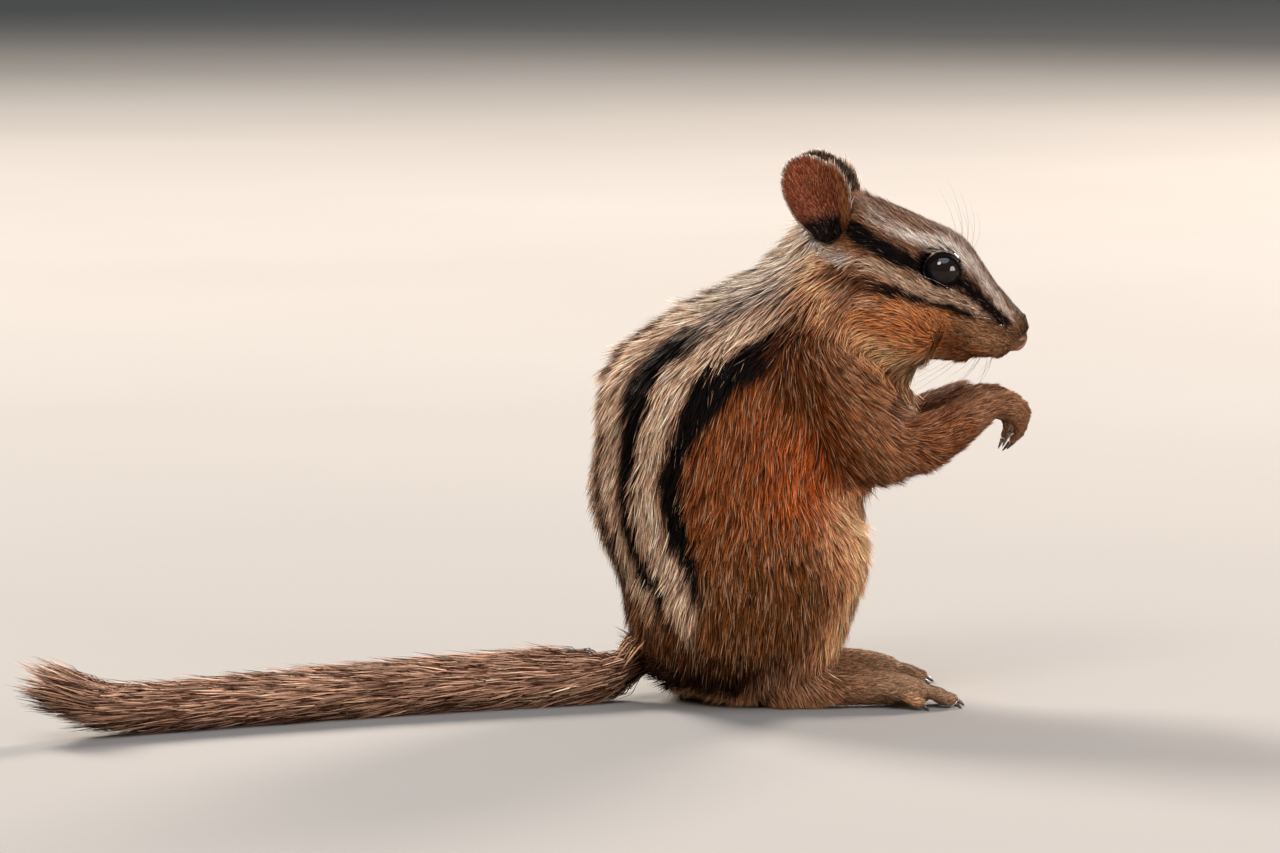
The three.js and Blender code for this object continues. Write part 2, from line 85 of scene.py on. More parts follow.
HEAD_CENTRE = np.array([25.4, -1.6, 64.2])
HEAD_PITCH, HEAD_YAW = math.radians(25), math.radians(-16)
EYE_RADIUS = 3.3
EYE_CENTRE = (8.1, 5.3, 7.3)
EAR_ROOT, EAR_UP, EAR_OUT = (-8.2, 7.7, 4.8), (-0.74, 0.25, 0.64), (0.42, 0.9, 0.1)
EAR_LENGTH, EAR_WIDTH, EAR_WALL = 13.5, 9.4, 0.42
EAR_HOLLOW = ((-10.6, 9.2, 9.4), (-8.8, 10.2, 4.8))
NOSE_CENTRE, NOSE_SIZE = (22.3, 0, 2.0), (2.2, 2.0, 2.15)
SHOULDER, ELBOW, WRIST = (13.5, 9.5, 52.5), (24.5, 11.5, 40), (40.5, 6.8, 45.6)
FINGERS = (48, 4, 44)
HEEL, TOE_TIPS = (8, 11, 3), (39, 12.5, 2)
TAIL = [(-6, 0, 8), (-15, -1, 4.9), (-30, -3.5, 4), (-50, -8.5, 3.8), (-70, -15, 3.7),
        (-84, -20, 3.7), (-93, -23.4, 4.3), (-99, -25.8, 6.2)]
TAIL_CORE = (2.6, 1.6)
TAIL_REACH = (6.2, 4.4)

HEAD_TURN = np.array(Matrix.Rotation(HEAD_YAW, 3, "Z") @ Matrix.Rotation(HEAD_PITCH, 3, "Y"))


def from_head(points):
    return np.asarray(points, float) @ HEAD_TURN.T + HEAD_CENTRE


def to_head(points):
    return (np.asarray(points, float) - HEAD_CENTRE) @ HEAD_TURN


def on_side(point, side):
    """A point or a direction given on the left side, taken to the side asked for."""
    return np.array([point[0], side * point[1], point[2]], float)


def unit(vectors):
    length = np.linalg.norm(vectors, axis=-1, keepdims=True)
    return vectors / np.maximum(length, 1e-9)


def ease(value, low, high):
    """0 below low, 1 above high, smooth between."""
    t = np.clip((value - low) / (high - low), 0, 1)
    return t * t * (3 - 2 * t)


def mix(a, b, t):
    return a + (b - a) * t


def along_line(points, start, end):
    """How far along a segment each point lies, from 0 to 1, and its distance to it."""
    start, end = np.asarray(start, float), np.asarray(end, float)
    way = end - start
    t = np.clip((points - start) @ way / (way @ way), 0, 1)
    return t, np.linalg.norm(points - start - t[:, None] * way, axis=1)


def to_left(points):
    """The points, with those of the right side mirrored to the left."""
    return np.column_stack([points[:, 0], np.abs(points[:, 1]), points[:, 2]])


def from_ear_hollow(at):
    """How far points of the head's frame are from the line up the hollow of the nearer ear."""
    return along_line(to_left(at), *EAR_HOLLOW)[1]


def groove(at, line, depth, width):
    """How far a groove along a line sinks each point."""
    sink = np.zeros(len(at))
    for start, end in zip(line, line[1:]):
        _, distance = along_line(at, start, end)
        sink = np.maximum(sink, depth * np.exp(-((distance / width) ** 2)))
    return sink


def smooth_path(points, count):
    """A Catmull-Rom curve through the points, cut into equal steps."""
    points = np.asarray(points, float)
    padded = np.vstack([2 * points[0] - points[1], points, 2 * points[-1] - points[-2]])
    fine = []
    for a, b, c, d in zip(padded, padded[1:], padded[2:], padded[3:]):
        for t in np.linspace(0, 1, 24, endpoint=False):
            fine.append(0.5 * (2 * b + (c - a) * t + (2 * a - 5 * b + 4 * c - d) * t ** 2
                               + (3 * b - a - 3 * c + d) * t ** 3))
    fine = np.array(fine + [points[-1]])
    length = np.concatenate([[0], np.cumsum(np.linalg.norm(np.diff(fine, axis=0), axis=1))])
    at = np.linspace(0, length[-1], count)
    return np.column_stack([np.interp(at, length, fine[:, n]) for n in range(3)])


TAIL_PATH = smooth_path(TAIL, 60)


# Which way the coat lies, how long its hair is, how far it lifts, and how deep the coat is there.
# A row is one stretch of body: the ends of its middle line, the radius at which its surface is, the
# hair's length, its lift in degrees, and the coat's depth. The hair follows the line, or else the
# direction that ends the row.

HEAD_STRETCHES = [
    ((23, 0, 2.5), (17, 0, 3.5), 3.0, 0.8, 16, 0.22),
    ((15, 0, 3.5), (9, 0, 5), 6.0, 1.4, 15, 0.35),
    ((6, 0, 4), (-3, 0, 4), 9.6, 2.2, 15, 0.6),
    ((5, 0, -4), (-3, 0, -5), 8.5, 2.9, 18, 0.8),
    ((15, 0, -4), (8, 0, -5), 2.5, 1.5, 18, 0.4),
]
BODY_STRETCHES = [
    (from_head((-8, 0, 1)), (7, 0, 54), 12.0, 4.6, 24, 1.5),
    ((6, 0, 52), (3, 0, 38), 17.0, 4.8, 20, 1.6, (-0.35, 0, -1)),
    ((3, 0, 38), (3.5, 0, 20), 17.5, 4.6, 19, 1.6, (-0.05, 0, -1)),
    ((1, 0, 18), (-7, 0, 8), 9.5, 4.2, 20, 1.3, (-0.55, 0, -0.8)),
    ((24, 0, 49), (20, 0, 42), 8.5, 4.6, 22, 1.4, (-0.1, 0, -1)),
    ((14, 0, 36), (13, 0, 12), 9.5, 4.8, 20, 1.4, (0.05, 0, -1)),
    ((6, 0, 12), (5, 0, 4), 10, 3.0, 14, 0.9, (-0.9, 0, -0.3)),
    ((-9, 0, 12), (-12, -0.5, 6), 4.0, 6.5, 16, 1.0, (-0.85, -0.1, -0.5)),
]
PAIRED_STRETCHES = [
    ((2, 10, 27), (9, 11, 10), 9, 4.2, 17, 1.3, (-0.06, 0, -1)),
    ((12, 11, 22), (12, 11, 9), 8, 3.6, 17, 1.2, (0.06, 0, -1)),
    (SHOULDER, ELBOW, 6.4, 3.4, 18, 1.1),
    (ELBOW, WRIST, 4.4, 2.2, 16, 0.65),
    (WRIST, (47, 4.5, 45), 1.9, 0.9, 14, 0.18),
    ((47, 4.5, 45), (48, 3, 40.5), 1.4, 0.6, 12, 0.1),
    (HEEL, (24, 12, 3), 3.0, 1.3, 12, 0.25),
    ((26, 12, 3), TOE_TIPS, 2.2, 0.9, 12, 0.12),
]
EAR_STRETCH = ((-8, 7, 8), (-17, 9.5, 15), 4.2, 1.0, 14, 0.08)
TAIL_STRETCH = (2.2, 3.0, 16, 0.2)
TAIL_STEP = 6
RUMP_HAIR, RUMP_LIE = 6.5, (-0.96, -0.05, -0.25)


def stretch(start, end, radius, hair, lift, depth, lie=None):
    start, end = np.asarray(start, float), np.asarray(end, float)
    lie = unit(np.asarray(lie, float)) if lie is not None else unit(end - start)
    return dict(start=start, end=end, radius=radius, hair=hair, lift=lift, depth=depth, lie=lie)


def coat_map():
    back = -HEAD_TURN[:, 0]
    stretches = [stretch(from_head(start), from_head(end), *rest, back)
                 for start, end, *rest in HEAD_STRETCHES]
    stretches += [stretch(*row) for row in BODY_STRETCHES]
    for side in SIDES.values():
        stretches += [stretch(on_side(start, side), on_side(end, side), *rest)
                      for start, end, *rest in PAIRED_STRETCHES]
        start, end, *rest = EAR_STRETCH
        stretches.append(stretch(from_head(on_side(start, side)), from_head(on_side(end, side)), *rest))
    stretches += [stretch(TAIL_PATH[n], TAIL_PATH[n + TAIL_STEP], *TAIL_STRETCH)
                  for n in range(0, len(TAIL_PATH) - TAIL_STEP, TAIL_STEP)]
    return stretches


COAT_MAP = coat_map()


def coat_at(points):
    """The lie, hair length, lift and depth of the coat, blended from the nearest stretches.

    The hair is short by the ears' hollows, and long over the place where the tail leaves the rump.
    """
    total = np.zeros(len(points))
    lie = np.zeros((len(points), 3))
    facts = {name: np.zeros(len(points)) for name in ("hair", "lift", "depth")}
    for part in COAT_MAP:
        _, distance = along_line(points, part["start"], part["end"])
        weight = 1 / (np.maximum(distance - part["radius"], 0) + 0.7) ** 3
        total += weight
        lie += weight[:, None] * part["lie"]
        for name in facts:
            facts[name] += weight * part[name]
    facts = {name: value / total for name, value in facts.items()}
    facts["hair"] *= mix(0.35, 1, ease(from_ear_hollow(to_head(points)), 2.8, 6.0))
    x, z = points[:, 0], points[:, 2]
    rear = ease(-x, 4.5, 8.5) * (1 - ease(z, 7, 10)) * (1 - ease(-x, 12, 14))
    facts["hair"] = mix(facts["hair"], RUMP_HAIR, rear)
    return unit(mix(unit(lie), np.array(RUMP_LIE), rear[:, None])), facts


# The skin

FLESH = ["head", "nose", "neck", "torso"] + [
    f"{part}_{side}" for side in SIDES
    for part in ("upper_arm", "forearm", "hand", "thigh", "foot")]
EARS = [f"ear_{side}" for side in SIDES]
TAIL_NODES = ["tail_base", "tail_middle", "tail_tip"]
VOXEL = 0.36
SEAM = 0.2
SUNK = 0.65
FLIPPED = [0, 2, 1]
TAIL_AROUND = 16
EAR_RINGS, EAR_AROUND = 24, 88
SOCKET = (3.7, 4.4)


def mesh_arrays(mesh):
    mesh.calc_loop_triangles()
    points = np.empty(len(mesh.vertices) * 3, np.float32)
    mesh.vertices.foreach_get("co", points)
    normals = np.empty(len(mesh.vertices) * 3, np.float32)
    mesh.vertices.foreach_get("normal", normals)
    corners = np.empty(len(mesh.loop_triangles) * 3, np.int32)
    mesh.loop_triangles.foreach_get("vertices", corners)
    return points.reshape(-1, 3).astype(float), normals.reshape(-1, 3).astype(float), corners.reshape(-1, 3)


def new_mesh(name, points, faces):
    mesh = bpy.data.meshes.new(name)
    mesh.from_pydata([tuple(p) for p in points], [], [tuple(int(i) for i in f) for f in faces])
    mesh.update()
    return mesh


def new_object(name, mesh):
    piece = bpy.data.objects.new(name, mesh)
    bpy.context.scene.collection.objects.link(piece)
    return piece


def joined(surfaces):
    """The points and the triangles of several surfaces, each in one array."""
    starts = np.cumsum([0] + [len(points) for points, _ in surfaces])
    return (np.vstack([points for points, _ in surfaces]),
            np.vstack([faces + start for (_, faces), start in zip(surfaces, starts)]))


def welded(points, faces):
    """The same surface with points at one place made one."""
    _, first, index = np.unique(np.round(points, 3), axis=0, return_index=True, return_inverse=True)
    faces = index.reshape(-1)[faces]
    good = (faces[:, 0] != faces[:, 1]) & (faces[:, 1] != faces[:, 2]) & (faces[:, 2] != faces[:, 0])
    return points[first], faces[good]


def point_normals(points, faces):
    a, b, c = (points[faces[:, n]] for n in range(3))
    face_normal = np.cross(b - a, c - a)
    normals = np.zeros_like(points)
    for n in range(3):
        np.add.at(normals, faces[:, n], face_normal)
    return unit(normals)


def swollen_node(name):
    """A node's surface, grown a little so that it meets its neighbours across their gaps."""
    points, _, faces = mesh_arrays(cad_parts[name].data)
    points, faces = welded(points / MM, faces)
    return points + point_normals(points, faces) * SEAM, faces


def tube_faces(rings, around):
    """Triangles of a closed tube: one point, then rings of points, then one point."""
    last = 1 + rings * around
    faces = []
    for n in range(around):
        m = (n + 1) % around
        faces.append((0, 1 + n, 1 + m))
    for low in range(1, last - around, around):
        high = low + around
        for n in range(around):
            m = (n + 1) % around
            faces += [(low + n, high + n, high + m), (low + n, high + m, low + m)]
    low = last - around
    faces += [(last, low + (n + 1) % around, low + n) for n in range(around)]
    return np.array(faces)


def tail_tube():
    """The tail's bare core, which its hair grows from."""
    way = unit(np.gradient(TAIL_PATH, axis=0))
    left = unit(np.cross((0, 0, 1), way))
    up = np.cross(way, left)
    angle = np.linspace(0, 2 * math.pi, TAIL_AROUND, endpoint=False)
    radius = np.linspace(*TAIL_CORE, len(TAIL_PATH))
    points = [TAIL_PATH[0] - way[0] * 2]
    for p, l, u, r in zip(TAIL_PATH, left, up, radius):
        points += [p + r * (math.cos(a) * l + math.sin(a) * u) for a in angle]
    points.append(TAIL_PATH[-1] + way[-1] * 1.2)
    return np.array(points), tube_faces(len(TAIL_PATH), TAIL_AROUND)[:, FLIPPED]


def ball_points(rings, around):
    """A unit ball with its poles on Z."""
    polar = np.linspace(0, math.pi, rings + 1)[1:-1]
    turn = np.linspace(0, 2 * math.pi, around, endpoint=False)
    body = [(math.sin(p) * math.cos(t), math.sin(p) * math.sin(t), math.cos(p)) for p in polar for t in turn]
    return np.array([(0, 0, 1)] + body + [(0, 0, -1)]), tube_faces(len(polar), around)


def ear_frame(side):
    """The ear's directions: up from its root, out of its mouth, and across."""
    up, out = unit(on_side(EAR_UP, side)), on_side(EAR_OUT, side)
    out = unit(out - up * (out @ up))
    return up, out, np.cross(up, out)


def ear_cup(side):
    """A thin sheet rolled into a cup: narrow and tightly rolled at its root, open at its round top.

    Returns its points and faces, and for each point the place across and up the sheet and its face.
    """
    sheet, faces = ball_points(EAR_RINGS, EAR_AROUND)
    across_by, up_by, face = sheet.T
    height = (up_by + 1) / 2
    roll = mix(math.radians(115), math.radians(34), np.sqrt(height))
    shape = mix(0.62, 1, np.sin(math.pi * np.minimum(height * 0.85, 0.5)))
    radius = EAR_WIDTH / 2 * shape / np.sin(np.minimum(roll, math.pi / 2))
    angle = across_by * roll
    reach = radius + face * EAR_WALL / 2
    up, out, across = ear_frame(side)
    points = (on_side(EAR_ROOT, side) + EAR_LENGTH * height[:, None] * up
              + (np.sin(angle) * reach)[:, None] * across
              + (radius * 0.55 - np.cos(angle) * reach)[:, None] * out)
    normals = point_normals(points, faces)
    if (points * normals).sum() < (points.mean(axis=0) * normals).sum():
        faces = faces[:, ::-1]
    return from_head(points), faces, sheet


def relaxed(points, edges, weight, rounds):
    """Each point moves part of the way to the middle of its neighbours, and then back by as much.

    That evens out the steps of the remesh and keeps thin parts from shrinking.
    """
    count = np.bincount(edges.ravel(), minlength=len(points))[:, None]
    for turn in range(2 * rounds):
        total = np.zeros_like(points)
        for axis in range(3):
            total[:, axis] = (np.bincount(edges[:, 0], points[edges[:, 1], axis], len(points))
                              + np.bincount(edges[:, 1], points[edges[:, 0], axis], len(points)))
        back = -1.02 if turn % 2 else 1
        points = points + back * weight[:, None] * (total / np.maximum(count, 1) - points)
    return points


MOUTH_LINE = [(20.6, 0.6, -1.7), (18.6, 2.2, -3.0), (15.6, 3.2, -3.35), (12.6, 4.6, -2.9)]


def head_folds(points, normals):
    """Sinks the line of the mouth into the skin, and the hollow under each ear."""
    at = to_left(to_head(points))
    points = points - normals * groove(at, MOUTH_LINE, 0.75, 0.5)[:, None]
    inward = from_head((0, 1, 0)) - HEAD_CENTRE
    sink = 3.6 * np.exp(-((from_ear_hollow(at) / 2.9) ** 3)) * np.sign(to_head(points)[:, 1])
    return points - inward * sink[:, None]


def eye_frame(side):
    """The middle of an eyeball, the way it looks out, and the lids' directions forward and up."""
    centre = on_side(EYE_CENTRE, side)
    outward = unit(on_side((0.2, 1, 0.18), side))
    forward = np.array([1.0, 0, 0.14])
    forward = unit(forward - outward * (forward @ outward))
    return centre, outward, forward, np.cross(forward, outward) * -side


def round_the_eyes(points):
    """Closes the sockets round the eyeballs, so that the skin runs up to the lids."""
    at = to_head(points)
    for side in SIDES.values():
        centre = eye_frame(side)[0]
        spoke = at - centre
        far = np.linalg.norm(spoke, axis=1)
        wanted = mix(EYE_RADIUS - 0.12, far, ease(far, *SOCKET))
        at = centre + spoke * (wanted / np.maximum(far, 0.1))[:, None]
    return from_head(at)


def make_skin():
    """One skin over the flesh and the tail's core, sunk by most of the coat's depth, with its ears."""
    surfaces = [swollen_node(name) for name in FLESH] + [tail_tube()]
    rough = new_object("rough_skin", new_mesh("rough_skin", *joined(surfaces)))
    remesh = rough.modifiers.new("voxels", "REMESH")
    remesh.mode, remesh.voxel_size, remesh.use_smooth_shade = "VOXEL", VOXEL, True
    mesh = bpy.data.meshes.new_from_object(rough.evaluated_get(bpy.context.evaluated_depsgraph_get()))
    bpy.data.objects.remove(rough)

    points, _, _ = mesh_arrays(mesh)
    edges = np.empty(len(mesh.edges) * 2, np.int32)
    mesh.edges.foreach_get("vertices", edges)
    edges = edges.reshape(-1, 2)
    _, coat = coat_at(points)
    soft = 0.12 + 0.45 * ease(coat["depth"], 0.15, 1.0)
    points = relaxed(points, edges, soft, 14)
    mesh.vertices.foreach_set("co", points.ravel())
    mesh.update()
    points, normals, _ = mesh_arrays(mesh)
    points = points - normals * (SEAM + SUNK * coat["depth"])[:, None]
    points = relaxed(points, edges, soft * 0.8, 6)
    points = round_the_eyes(head_folds(points, normals))
    points[:, 2] = np.maximum(points[:, 2], 0.05)
    mesh.vertices.foreach_set("co", points.ravel())
    mesh.update()
    return with_ears(mesh)


def with_ears(mesh):
    """The skin with both ears joined on, and each point's place on an ear's sheet, where it has one."""
    points, _, faces = mesh_arrays(mesh)
    surfaces, places = [(points, faces)], [np.full((len(points), 3), np.nan)]
    for side in SIDES.values():
        ear_points, ear_faces, sheet = ear_cup(side)
        surfaces.append((ear_points, ear_faces))
        places.append(sheet * (-side, 1, 1))
    return new_mesh("skin", *joined(surfaces)), np.vstack(places)


def unwrap(piece):
    """Gives the skin the chart that its materials are baked on."""
    bpy.context.view_layer.objects.active = piece
    piece.select_set(True)
    piece.data.uv_layers.new(name="OFBake")
    bpy.ops.object.mode_set(mode="EDIT")
    bpy.ops.mesh.select_all(action="SELECT")
    bpy.ops.uv.smart_project(angle_limit=math.radians(66), island_margin=0.003)
    bpy.ops.object.mode_set(mode="OBJECT")
    piece.select_set(False)


# Markings. Colours are sRGB hex, and this turns one to linear.

def linear(code):
    channels = np.array([(code >> shift & 255) / 255 for shift in (16, 8, 0)])
    return np.where(channels <= 0.04045, channels / 12.92, ((channels + 0.055) / 1.055) ** 2.4)


BLACK_STRIPE = linear(0x0A0605)
PALE_STRIPE = linear(0xE6B696)
MEDIAN_STRIPE = linear(0x2A1A14)
FLANK = linear(0x80421C)
HAUNCH = linear(0x643816)
# Painted shade low on the body, where it meets the floor.
LOW_BODY_SHADE = linear(0x1C0D07)
SHOULDER_BROWN = linear(0x38200F)
SIDE_ORANGE = linear(0xA84E1E)
# Pale belly fur, made lighter still as painted glow of light on the belly.
PALE_BELLY_AND_GLOW = linear(0xFFAE7C)
# Painted rim light on the nape, as from light behind the animal.
NAPE_RIM_LIGHT = linear(0xFFE0C8)
CROWN = linear(0x5A3A2A)
CHEEK = linear(0xBC7040)
THROAT = linear(0xF4AC7A)
MUZZLE = linear(0x966846)
FACE_PALE = linear(0xAA8A72)
BRIDGE = linear(0x4A2C1E)
FACE_BROWN = linear(0x6A4630)
FACE_BRIGHT = linear(0xECD4C4)
FACE_DARK = linear(0x0C0706)
EAR_INSIDE = linear(0x783A22)
EAR_BACK = linear(0x3A2A22)
# Painted rim light along the ears' upper edge.
EAR_RIM_LIGHT = linear(0xE8D2C0)
EAR_PATCH = linear(0xECD6C6)
LIMB = linear(0x744224)
UPPER_ARM = linear(0x60300F)
HAND_SKIN = linear(0x84593E)
# The tan of the foot's lit top: painted light.
FOOT_LIT_TOP = linear(0x8E6C52)
TAIL_BROWN = linear(0x3A221A)
TAIL_PALE = linear(0xC49A80)
NOSE_SKIN = linear(0x9C6E58)
# Painted shade: near black in the nostrils, the ears' hollows and the roots of the ears' cups.
HOLLOW_SHADE = linear(0x150C0A)
HAIR_FROST = linear(0xE6BC98)
TAIL_UNDERFUR = linear(0x8A5A3C)

# The body's own axis, bent forward to the neck. Round it, the middle of the dark spine stripe is
# turned a little to the right low on the back. From there the stripes' edges lie this many degrees
# out at stations up the axis: dark spine, inner pale, inner black, outer pale, outer black.
BODY_AXIS = [(-3, 6), (3.5, 14), (3.2, 24), (2.6, 36), (4.5, 45), (9.5, 53), (16, 59), (23, 65)]
STATIONS = [6.5, 9.5, 16, 23, 26, 29.5, 35, 41, 47, 53, 60]
SPINE_TURN = [0, 2, 4, 6, 8, 9.5, 9.5, 6, 1, 0, 0]
STRIPE_EDGES = [
    [30, 12, 7, 5, 4, 4, 3.5, 3.5, 4, 5, 6],
    [60, 38, 28, 20.5, 13, 12, 13, 15, 18.5, 24, 26],
    [72, 47, 42, 37, 25.5, 19.5, 20, 25, 32.5, 38.5, 44],
    [80, 66, 59, 52, 44, 35.5, 33.5, 38.5, 46.5, 56, 66],
    [82, 68, 62, 59.5, 54.5, 48.5, 45, 49.5, 65, 78, 95],
]
STRIPE_BLUR = 2.3
AXIS_START = 6.0


def body_place(points):
    """Length up the body's axis, and the angle round it from the spine, in degrees."""
    axis = np.array([(x, 0, z) for x, z in BODY_AXIS], float)
    best = np.full(len(points), 1e9)
    station, angle = np.zeros(len(points)), np.zeros(len(points))
    length = AXIS_START
    for start, end in zip(axis, axis[1:]):
        way = end - start
        t, distance = along_line(points, start, end)
        spoke = points - start - t[:, None] * way
        dorsal = np.array([-way[2], 0, way[0]]) / np.linalg.norm(way)
        rise = np.hypot(spoke[:, 0], spoke[:, 2]) * np.sign(spoke @ dorsal)
        near = distance < best
        best = np.where(near, distance, best)
        station = np.where(near, length + t * np.linalg.norm(way), station)
        angle = np.where(near, np.degrees(np.arctan2(points[:, 1], rise)), angle)
        length += np.linalg.norm(way)
    return station, angle


def wobble(points, size, seed):
    """A smooth random field, nearly always between -1 and 1, with waves about size mm long."""
    random = np.random.default_rng(seed)
    total = np.zeros(len(points))
    for _ in range(6):
        way = unit(random.normal(size=3)) * 2 * math.pi / size * random.uniform(0.6, 1.4)
        total += np.sin(points @ way + random.uniform(0, 2 * math.pi))
    return total / 3.2


def streak(at, path, halves, blur=0.5):
    """How much a point lies in a stripe that follows a path, with a half width at each end."""
    inside = np.zeros(len(at))
    widths = np.linspace(*halves, len(path))
    for n, (start, end) in enumerate(zip(path, path[1:])):
        t, distance = along_line(at, start, end)
        half = mix(widths[n], widths[n + 1], t)
        inside = np.maximum(inside, 1 - ease(distance, half - blur, half + blur))
    return inside


def paint(colour, target, amount):
    """Colours moved towards a target by the amount at each point, from 0 to 1."""
    return colour + (target - colour) * np.clip(amount, 0, 1)[:, None]


# Stripes of the face, as (forward, up) in the head's own frame.
UPPER_PALE = [(-5.5, 10.4), (0.4, 9.9), (4.2, 10.5), (7.7, 11.3), (11, 10.3), (14.2, 8.6),
              (17.7, 6.5), (21, 4.7)]
EYE_DARK = [(-7, 7.4), (-2, 6.6), (2, 6.5), (7.6, 7), (12.6, 6.7), (16.5, 5.2), (20.5, 4.0)]
LOWER_PALE = [(-12, 3.4), (-9, 2.5), (-5.5, 3.0), (0, 3.8), (4, 3.6), (8, 3.6), (12, 4.3), (16, 4.2)]
CHEEK_DARK = [(-9.5, -0.8), (-5, 0.2), (0, 1.2), (5, 1.9), (10, 2.7), (15, 2.8)]
CHEEK_PALE = [(-9, -2.6), (2, -1.6)]
LIP_DARK = [(13.2, -3.6), (16.2, -3.9)]
EYE_RING = (8.3, 7.3)
EYE_RING_STRETCH = 1.12


def head_colour(points):
    """The head's ground colours from its chin to its crown, and then the stripes of the face."""
    at = to_head(points)
    flat = at[:, [0, 2]] + 0.3 * np.column_stack([wobble(points, 1.6, 31), wobble(points, 1.6, 32)])
    colour = np.tile(CHEEK, (len(points), 1))
    colour = paint(colour, mix(CHEEK, SHOULDER_BROWN, 0.55), 1 - ease(at[:, 0], -5, 3))
    colour = paint(colour, THROAT, 1 - ease(at[:, 2], -8, -4))
    colour = paint(colour, MUZZLE, ease(at[:, 0], 11, 15) * ease(at[:, 2], -2.5, -0.5))
    colour = paint(colour, FACE_BROWN, ease(at[:, 2] + 0.12 * at[:, 0], 3.6, 5.2))
    colour = paint(colour, CROWN, ease(at[:, 2] + 0.35 * at[:, 0], 12.5, 14.5) * (1 - ease(at[:, 0], 12, 17)))
    colour = paint(colour, FACE_PALE, 0.55 * streak(flat, CHEEK_PALE, (1.2, 0.7)))
    rear = mix(0.5, 0.97, ease(at[:, 0], -6, 2))
    colour = paint(colour, FACE_DARK, rear * streak(flat, CHEEK_DARK, (1.45, 0.75)))
    colour = paint(colour, FACE_PALE, streak(flat, LOWER_PALE, (1.25, 0.9)))
    bridge = ease(at[:, 0], 9, 13) * (1 - ease(np.abs(at[:, 1]), 1.2, 2.6)) * ease(at[:, 2], 2, 4)
    colour = paint(colour, BRIDGE, 0.9 * bridge)
    rear = mix(0.35, 1, ease(at[:, 0], -3, 4)) * (1 - 0.3 * ease(at[:, 0], 9, 14))
    colour = paint(colour, FACE_BRIGHT, rear * streak(flat, UPPER_PALE, (0.95, 0.42)))
    ring = np.hypot((at[:, 0] - EYE_RING[0]) / EYE_RING_STRETCH, at[:, 2] - EYE_RING[1])
    ring = ease(ring, 2.3, 2.7) * (1 - ease(ring, 3.3, 4.2))
    colour = paint(colour, FACE_BRIGHT, 0.8 * ring * ease(at[:, 2], 8.2, 9.4))
    colour = paint(colour, FACE_PALE, 0.8 * ring * (1 - ease(at[:, 2], 4.6, 6)))
    colour = paint(colour, FACE_DARK, streak(flat, EYE_DARK, (1.5, 0.8)))
    # The ear's hollow, sunk into the head: brown, and near black low in it, which is painted shade.
    distance = from_ear_hollow(at)
    colour = paint(colour, EAR_INSIDE, 1 - ease(distance, 2.2, 3.0))
    colour = paint(colour, HOLLOW_SHADE, (1 - ease(distance, 2.3, 3.1)) * (1 - ease(at[:, 2], 6.8, 8.6)))
    return paint(colour, FACE_DARK, 0.3 * streak(flat, LIP_DARK, (0.7, 0.8), 0.3))


def ear_front(sheet):
    """Where the brown hair of the crown runs on over the ear's front edge."""
    across, up, _ = sheet.T
    return ease(across - 0.62 - 0.35 * up, -0.1, 0.2)


def ear_colour(sheet):
    """An ear's colours from the place on its sheet: brown inside and lighter up its middle, near black deep
    at its root as painted shade, and pale at its rim as painted rim light.
    """
    across, up, face = sheet.T
    edge = np.hypot(across, up)
    inside = face < 0
    colour = np.where(inside[:, None], EAR_INSIDE, EAR_BACK)
    colour = paint(colour, EAR_INSIDE * 1.5, inside * 0.5 * ease(up, -0.1, 0.7) * (1 - ease(edge, 0.8, 0.95)))
    # Near black deep in the cup at the ear's root: painted shade.
    colour = paint(colour, HOLLOW_SHADE, inside * (1 - ease(up + 0.25 * across, -0.62, -0.3)))
    colour = paint(colour, CHEEK * 0.5, inside * ear_front(sheet) * 0.9)
    # Pale along the ear's upper edge: painted rim light.
    return paint(colour, EAR_RIM_LIGHT, ease(edge, 0.955, 0.985) * ease(up, -0.7, -0.2) * 0.85)


